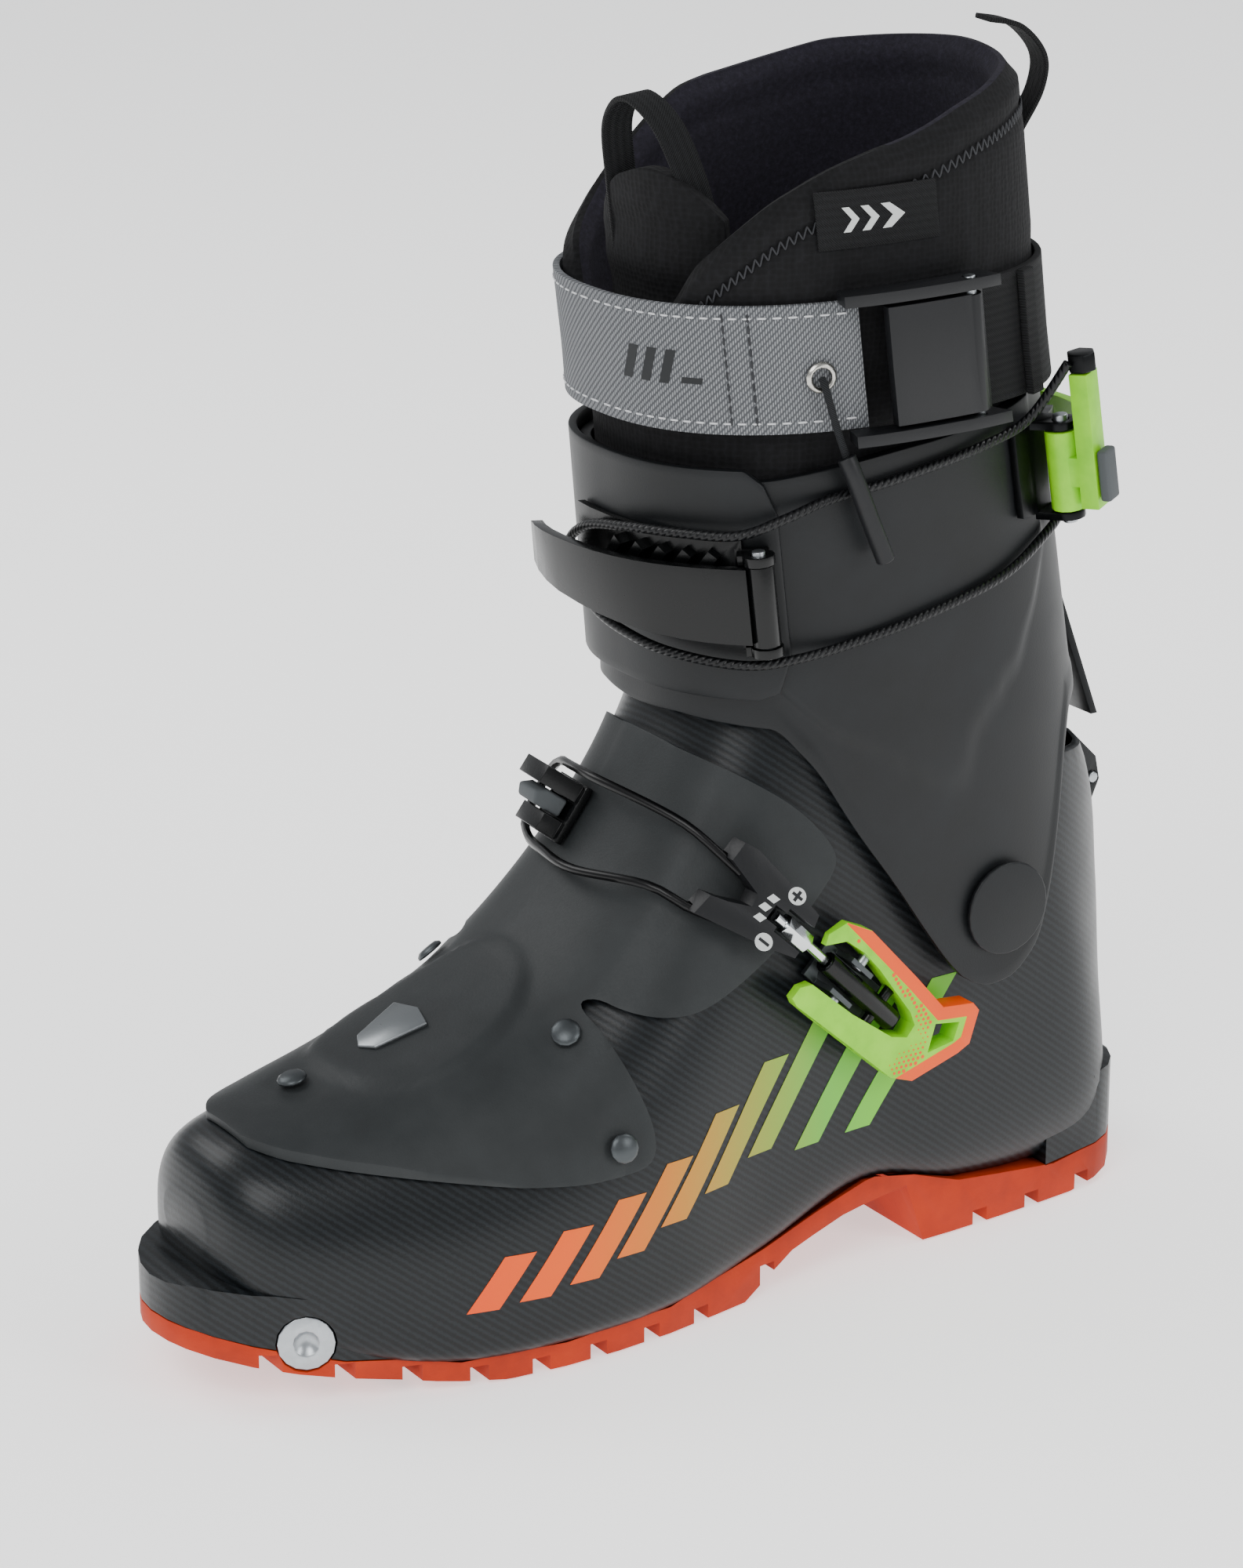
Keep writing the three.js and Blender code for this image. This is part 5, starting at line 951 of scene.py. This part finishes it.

# Rim: the zigzag that sews the rim piping, a rolled strip of elastic binding, over the liner's top edge; the piping
# itself is not built, and its material is laid on no piece.
binding, tree, bsdf = new_material("elastic_binding", "#141417", 0.8)
emboss(tree, bsdf, grain(tree, 0.6), 0.1)
ZIGZAG_START, ZIGZAG_STEP, ZIGZAG_STITCHES = -56, 1.2, 250  # angles round the leg, and their number
ZIGZAG_DOWN, ZIGZAG_REACH, ZIGZAG_OUT = 11, 1.4, 0.25  # below the rim, up and down from there, off the mesh
zigzag = []
for k in range(ZIGZAG_STITCHES + 1):
    angle = ZIGZAG_START + k * ZIGZAG_STEP
    z = rim_height(angle) - ZIGZAG_DOWN + (ZIGZAG_REACH if k % 2 else -ZIGZAG_REACH)
    zigzag.append((angle, z, ZIGZAG_OUT))
stitches("rim_zigzag_stitching", list(zip(zigzag, zigzag[1:])), dark_thread, 0.26)

# Tongue: a padded tongue behind the rim, its top rounded, with the same mesh and quilted lines across it.
TONGUE_TOP, TONGUE_MIDDLE, TONGUE_OUT = 302, -76, -16.2
QUILT_DEPTH, QUILT_RUN = 0.5, 3.1  # the run is the height of one quilted line over 2 pi, mm


def tongue_high(angle):
    return TONGUE_TOP - 0.014 * (angle - TONGUE_MIDDLE) ** 2


tongue = cuff_sheet(
    "liner_tongue_foam", -112, -46, 222, tongue_high,
    lambda a, z: TONGUE_OUT + QUILT_DEPTH * math.sin(z / QUILT_RUN) * soft_step(5, 12, tongue_high(a) - z),
    5, liner_mesh, 60, 60, 0)
round_edges(tongue, 1.9, 4, 60)
smooth(tongue, 60)
assign(tongue, "cuff", "tongue")


# A webbing's section with soft edges, as shares of its half width and half thickness.
RIBBON_SECTION = ((-1, 0.6), (-0.93, 1), (0.93, 1), (1, 0.6), (1, -0.6), (0.93, -1), (-0.93, -1), (-1, -0.6))


def ribbon(name, route, across, width, thickness, material):
    """Flat webbing along a curve, its length and width, in mm, as its UV map."""
    curve = through_points(route, 8)
    across = across.normalized()
    points, uvs, length = [], [], 0.0
    for i, p in enumerate(curve):
        forward = (curve[min(i + 1, len(curve) - 1)] - curve[max(i - 1, 0)]).normalized()
        length += (p - curve[i - 1]).length / MM if i else 0
        normal = forward.cross(across).normalized()
        for u, v in RIBBON_SECTION:
            points.append(p + across * u * width * MM / 2 + normal * v * thickness * MM / 2)
            uvs.append((length, u * width / 2))
    piece = mesh_piece(name, points, loft_faces(len(curve), len(RIBBON_SECTION)), material)
    lay_uv(piece, uvs)
    edit(piece, outward)
    smooth(piece, 40)
    return piece


# Pull loops: 8 mm black webbing, folded over and sewn to the tongue's back and to the heel of the rim.
LOOP_WIDTH, LOOP_THICKNESS = 8, 1.4
TONGUE_LOOP_OUT = -14.6
TONGUE_LOOP = [
    (-98, 279, 0), (-98, 296, 0), (-93, 312, 1), (-82, 320, 1.5), (-68, 314, 1), (-60, 300, 0), (-56, 286, 0)]
HEEL_LOOP_ANGLE = 82
HEEL_LOOP = [(296, 1.3), (300, 4), (310, 10.5), (319, 12), (327, 6), (329.5, -3)]
for name, route, across, node in (
        ("tongue_pull_loop", [cuff_point(a, z, TONGUE_LOOP_OUT + o) for a, z, o in TONGUE_LOOP],
         Vector((0.35, 1, 0.2)), "tongue_loop"),
        ("heel_pull_loop", [cuff_point(HEEL_LOOP_ANGLE, z, o) for z, o in HEEL_LOOP],
         Vector((1, -0.12, 0)), "heel_loop")):
    loop = ribbon(name, route, across, LOOP_WIDTH, LOOP_THICKNESS, black_webbing)
    assign(loop, "cuff", node)

# Liner patch: a small woven label sewn to the mesh, with plain chevrons in place of a mark.
patch = cuff_sheet("liner_woven_patch", -19, 7, 284, 299, 0.5, 0.8, black_webbing, 24, 8, 0.2)
assign(patch, "cuff", "liner_patch")


def printed(name, shapes, spot, material, thickness=0.12):
    """Thin flat marks: each shape is a 2-D outline in mm, laid by spot(x, y, height)."""
    points, faces = [], []
    for shape in shapes:
        base, n = len(points), len(shape)
        points += [spot(x, y, thickness) for x, y in shape] + [spot(x, y, 0) for x, y in shape]
        faces += [tuple(base + k for k in range(n)), tuple(base + n + k for k in range(n))[::-1]]
        faces += [(base + k, base + n + k, base + n + (k + 1) % n, base + (k + 1) % n) for k in range(n)]
    piece = mesh_piece(name, points, faces, material)
    edit(piece, outward)
    return piece


def disc(x, y, radius, sides=16):
    turns = [2 * math.pi * k / sides for k in range(sides)]
    return [(x + radius * math.cos(turn), y + radius * math.sin(turn)) for turn in turns]


def block(x, y, width, height, lean=0.0):
    return [(x - width / 2 - lean, y - height / 2), (x + width / 2 - lean, y - height / 2),
            (x + width / 2 + lean, y + height / 2), (x - width / 2 + lean, y + height / 2)]


light_ink, tree, bsdf = new_material("light_grey_print", "#C3C6C4", 0.5)
emboss(tree, bsdf, grain(tree, 0.6), 0.02)
dark_ink, tree, bsdf = new_material("dark_print", "#1A1C1E", 0.55)
emboss(tree, bsdf, grain(tree, 0.6), 0.02)
chevrons = [[(x, -3.2), (x + 1.6, -3.2), (x + 3.6, 0), (x + 1.6, 3.2), (x, 3.2), (x + 2, 0)] for x in (-6, -2, 2)]
CHEVRONS_ANGLE, CHEVRONS_Z, PATCH_FACE = -6, 291.5, 1.36
marks = printed("patch_chevrons", chevrons,
                lambda x, y, h: cuff_point(CHEVRONS_ANGLE + x * 1.1, CHEVRONS_Z + y, PATCH_FACE + h), light_ink)
assign(marks, "cuff")

# Printed mark on the grey strap: three slanted bars, in place of lettering.
bars = [block(x, 0, 3.0, 9, 1.6) for x in (-10, -4, 2)] + [block(9, -3.2, 6, 1.6, 0.3)]
MARK_ANGLE, MARK_Z = -66, 254.5
marks = printed("strap_printed_bars", bars,
                lambda x, y, h: cuff_point(MARK_ANGLE + x * 1.05, MARK_Z + y, STRAP_FACE - 0.1 + h), dark_ink)
assign(marks, "cuff")

# -------------------------------------------------------------------------------- instep rack
# The same glossy filled nylon: posts that the lower cable's loop drops over, with a grey rubber pad between.
from_cad("instep_rack", "instep_rack_moulded", gloss_nylon, 0.8, 35, 3)

# -------------------------------------------------------------------------------- lower buckle
# A die-cast magnesium lever, lime powder coat with an orange printed edge, pinned to a riveted steel base.
# The barrel is glossy black; a chromed hexagon sleeve turns on the threaded rod to take up the cable.
orange_print, tree, bsdf = new_material("orange_print_on_coat", "#EE6112", 0.38)
peel = grain(tree, 1.1, 2)
paint(tree, bsdf, grain(tree, 9), ["#F04A00", "#F55A08"])
roughen(tree, bsdf, peel, 0.3, 0.45)
emboss(tree, bsdf, peel, 0.04, 0.5)
chrome, tree, bsdf = new_material("bright_chrome_plate", "#D9DDDF", 0.14, 1.0)
roughen(tree, bsdf, grain(tree, 2, 4), 0.08, 0.24)
emboss(tree, bsdf, grain(tree, 0.8), 0.01)
for node, body_material, bevel, slot in (
        ("buckle_base", blackened_steel, 0.5, "dark_metal"), ("buckle_pin_upper", zinc_steel, 0.3, "steel"),
        ("buckle_pin_lower", zinc_steel, 0.3, "steel"), ("buckle_barrel", gloss_nylon, 0.6, "black_gloss"),
        ("adjuster_rod", chrome, 0.35, "steel"), ("yoke", acetal, 0.8, "black_gloss")):
    from_cad(node, node + "_finished", body_material, bevel, 35, 3)

BUCKLE_X = shell_point(8.1, 6).x / MM + 7.9
BUCKLE_Y, BUCKLE_Z = 33.5, 87.5
HALF = math.sqrt(0.5)
LEVER_EDGE = [(38, 102.5), (53, 86), (62, 75.5), (72, 74.5), (74, 72), (71, 63), (67, 61), (52, 56.5)]
LEVER_FACE = BUCKLE_X + 0.5 + 3.2
BAND = 3.6


def edge_distance(y, z):
    """How far a side-view place is from the lever's printed edge, mm."""
    nearest = 1e9
    for (y0, z0), (y1, z1) in zip(LEVER_EDGE, LEVER_EDGE[1:]):
        t = max(0, min(1, ((y - y0) * (y1 - y0) + (z - z0) * (z1 - z0)) / ((y1 - y0) ** 2 + (z1 - z0) ** 2)))
        nearest = min(nearest, math.hypot(y - y0 - t * (y1 - y0), z - z0 - t * (z1 - z0)))
    return nearest


lever = from_cad("lower_lever", "lower_lever_cast", lime_coat, 0.9, 40, 3)
for (y0, z0), (y1, z1) in zip(LEVER_EDGE, LEVER_EDGE[1:]):
    edge = Vector((0, y1 - y0, z1 - z0)).normalized()
    inward = Vector((0, edge.z, -edge.y))
    band_line = (Vector((0, y0, z0)) + inward * BAND) * MM
    edit(lever, lambda: bpy.ops.mesh.bisect(plane_co=band_line, plane_no=inward))
lever.data.materials.append(orange_print)
for polygon in lever.data.polygons:
    middle = polygon.center / MM
    polygon.material_index = 1 if edge_distance(middle.y, middle.z) < BAND else 0

# Halftone dots where the orange fades out, on the lever's outer face.
LEVER_OUTLINE = [
    (23, 101.5), (24, 104.5), (30, 106.5), (38, 102.5), (53, 86), (62, 75.5), (72, 74.5), (74, 72), (71, 63), (67, 61),
    (52, 56.5), (45, 59), (27, 75), (14, 86.5), (12.5, 89), (15, 91.5), (19, 91.5), (26, 85.4), (32, 80.2), (45, 70.8),
    (50, 69.5), (52.5, 72.5), (51, 76.5), (40.6, 91), (35.6, 96.8), (30, 101.2)]
DIAMOND = [(59.5, 71.2), (67.5, 70), (65.5, 65), (57, 63.5)]


def inside(outline, y, z):
    hit = False
    for (y0, z0), (y1, z1) in zip(outline, outline[1:] + outline[:1]):
        if (z0 > z) != (z1 > z) and y < y0 + (y1 - y0) * (z - z0) / (z1 - z0):
            hit = not hit
    return hit


def clear_of_edges(outline, y, z, gap):
    """Whether seven places round this one, a gap away, lie on its side of the outline."""
    here = inside(outline, y, z)
    return all(inside(outline, y + gap * math.cos(k), z + gap * math.sin(k)) == here for k in range(7))


dots = []
DOTS_Y, DOTS_Z, DOT_COLUMN, DOT_ROW, DOT_SHIFT = 22, 56, 1.55, 1.35, 0.78  # start, spacing, shift of odd rows
for i in range(34):
    for k in range(34):
        y, z = DOTS_Y + i * DOT_COLUMN + (k % 2) * DOT_SHIFT, DOTS_Z + k * DOT_ROW
        away = edge_distance(y, z) - BAND
        radius = 0.62 - 0.07 * away
        if 0.5 < away < 6.5 and inside(LEVER_OUTLINE, y, z) and not inside(DIAMOND, y, z):
            if all(clear_of_edges(edge, y, z, radius + 1.0) for edge in (LEVER_OUTLINE, DIAMOND)):
                dots.append(disc(y, z, radius, 10))
halftone = printed(
    "lever_halftone_dots", dots, lambda y, z, h: Vector((LEVER_FACE + h, y, z)) * MM, orange_print, 0.06)
assign(halftone, "lower_lever")


def yoke_spot(along, across, height):
    """A place on the yoke's sloping face, in the buckle's own directions."""
    x = BUCKLE_X + 2.8 + 0.42 * (along + 31) + height
    return Vector((x, BUCKLE_Y + HALF * (along + across), BUCKLE_Z + HALF * (across - along))) * MM


SIGN_ALONG, SIGN_ACROSS = -33.5, 7.4
plates = [disc(SIGN_ALONG, side * SIGN_ACROSS, 2.3, 24) for side in (1, -1)]
plates += [block(-38.4 + 0.5 * abs(x) / 3, x, 2.2, 1.9, 0.35) for x in (-3, 0, 3)]
marks = printed("yoke_light_marks", plates, yoke_spot, light_ink, 0.1)
assign(marks, BODY_OF["yoke"])
signs = [block(SIGN_ALONG, SIGN_ACROSS, 3.0, 0.8), block(SIGN_ALONG, SIGN_ACROSS + 0.95, 0.8, 1.1),
         block(SIGN_ALONG, SIGN_ACROSS - 0.95, 0.8, 1.1), block(SIGN_ALONG, -SIGN_ACROSS, 3.0, 0.8)]
marks = printed("yoke_plus_and_minus", signs, lambda a, c, h: yoke_spot(a, c, 0.1 + h), dark_ink, 0.08)
assign(marks, BODY_OF["yoke"])
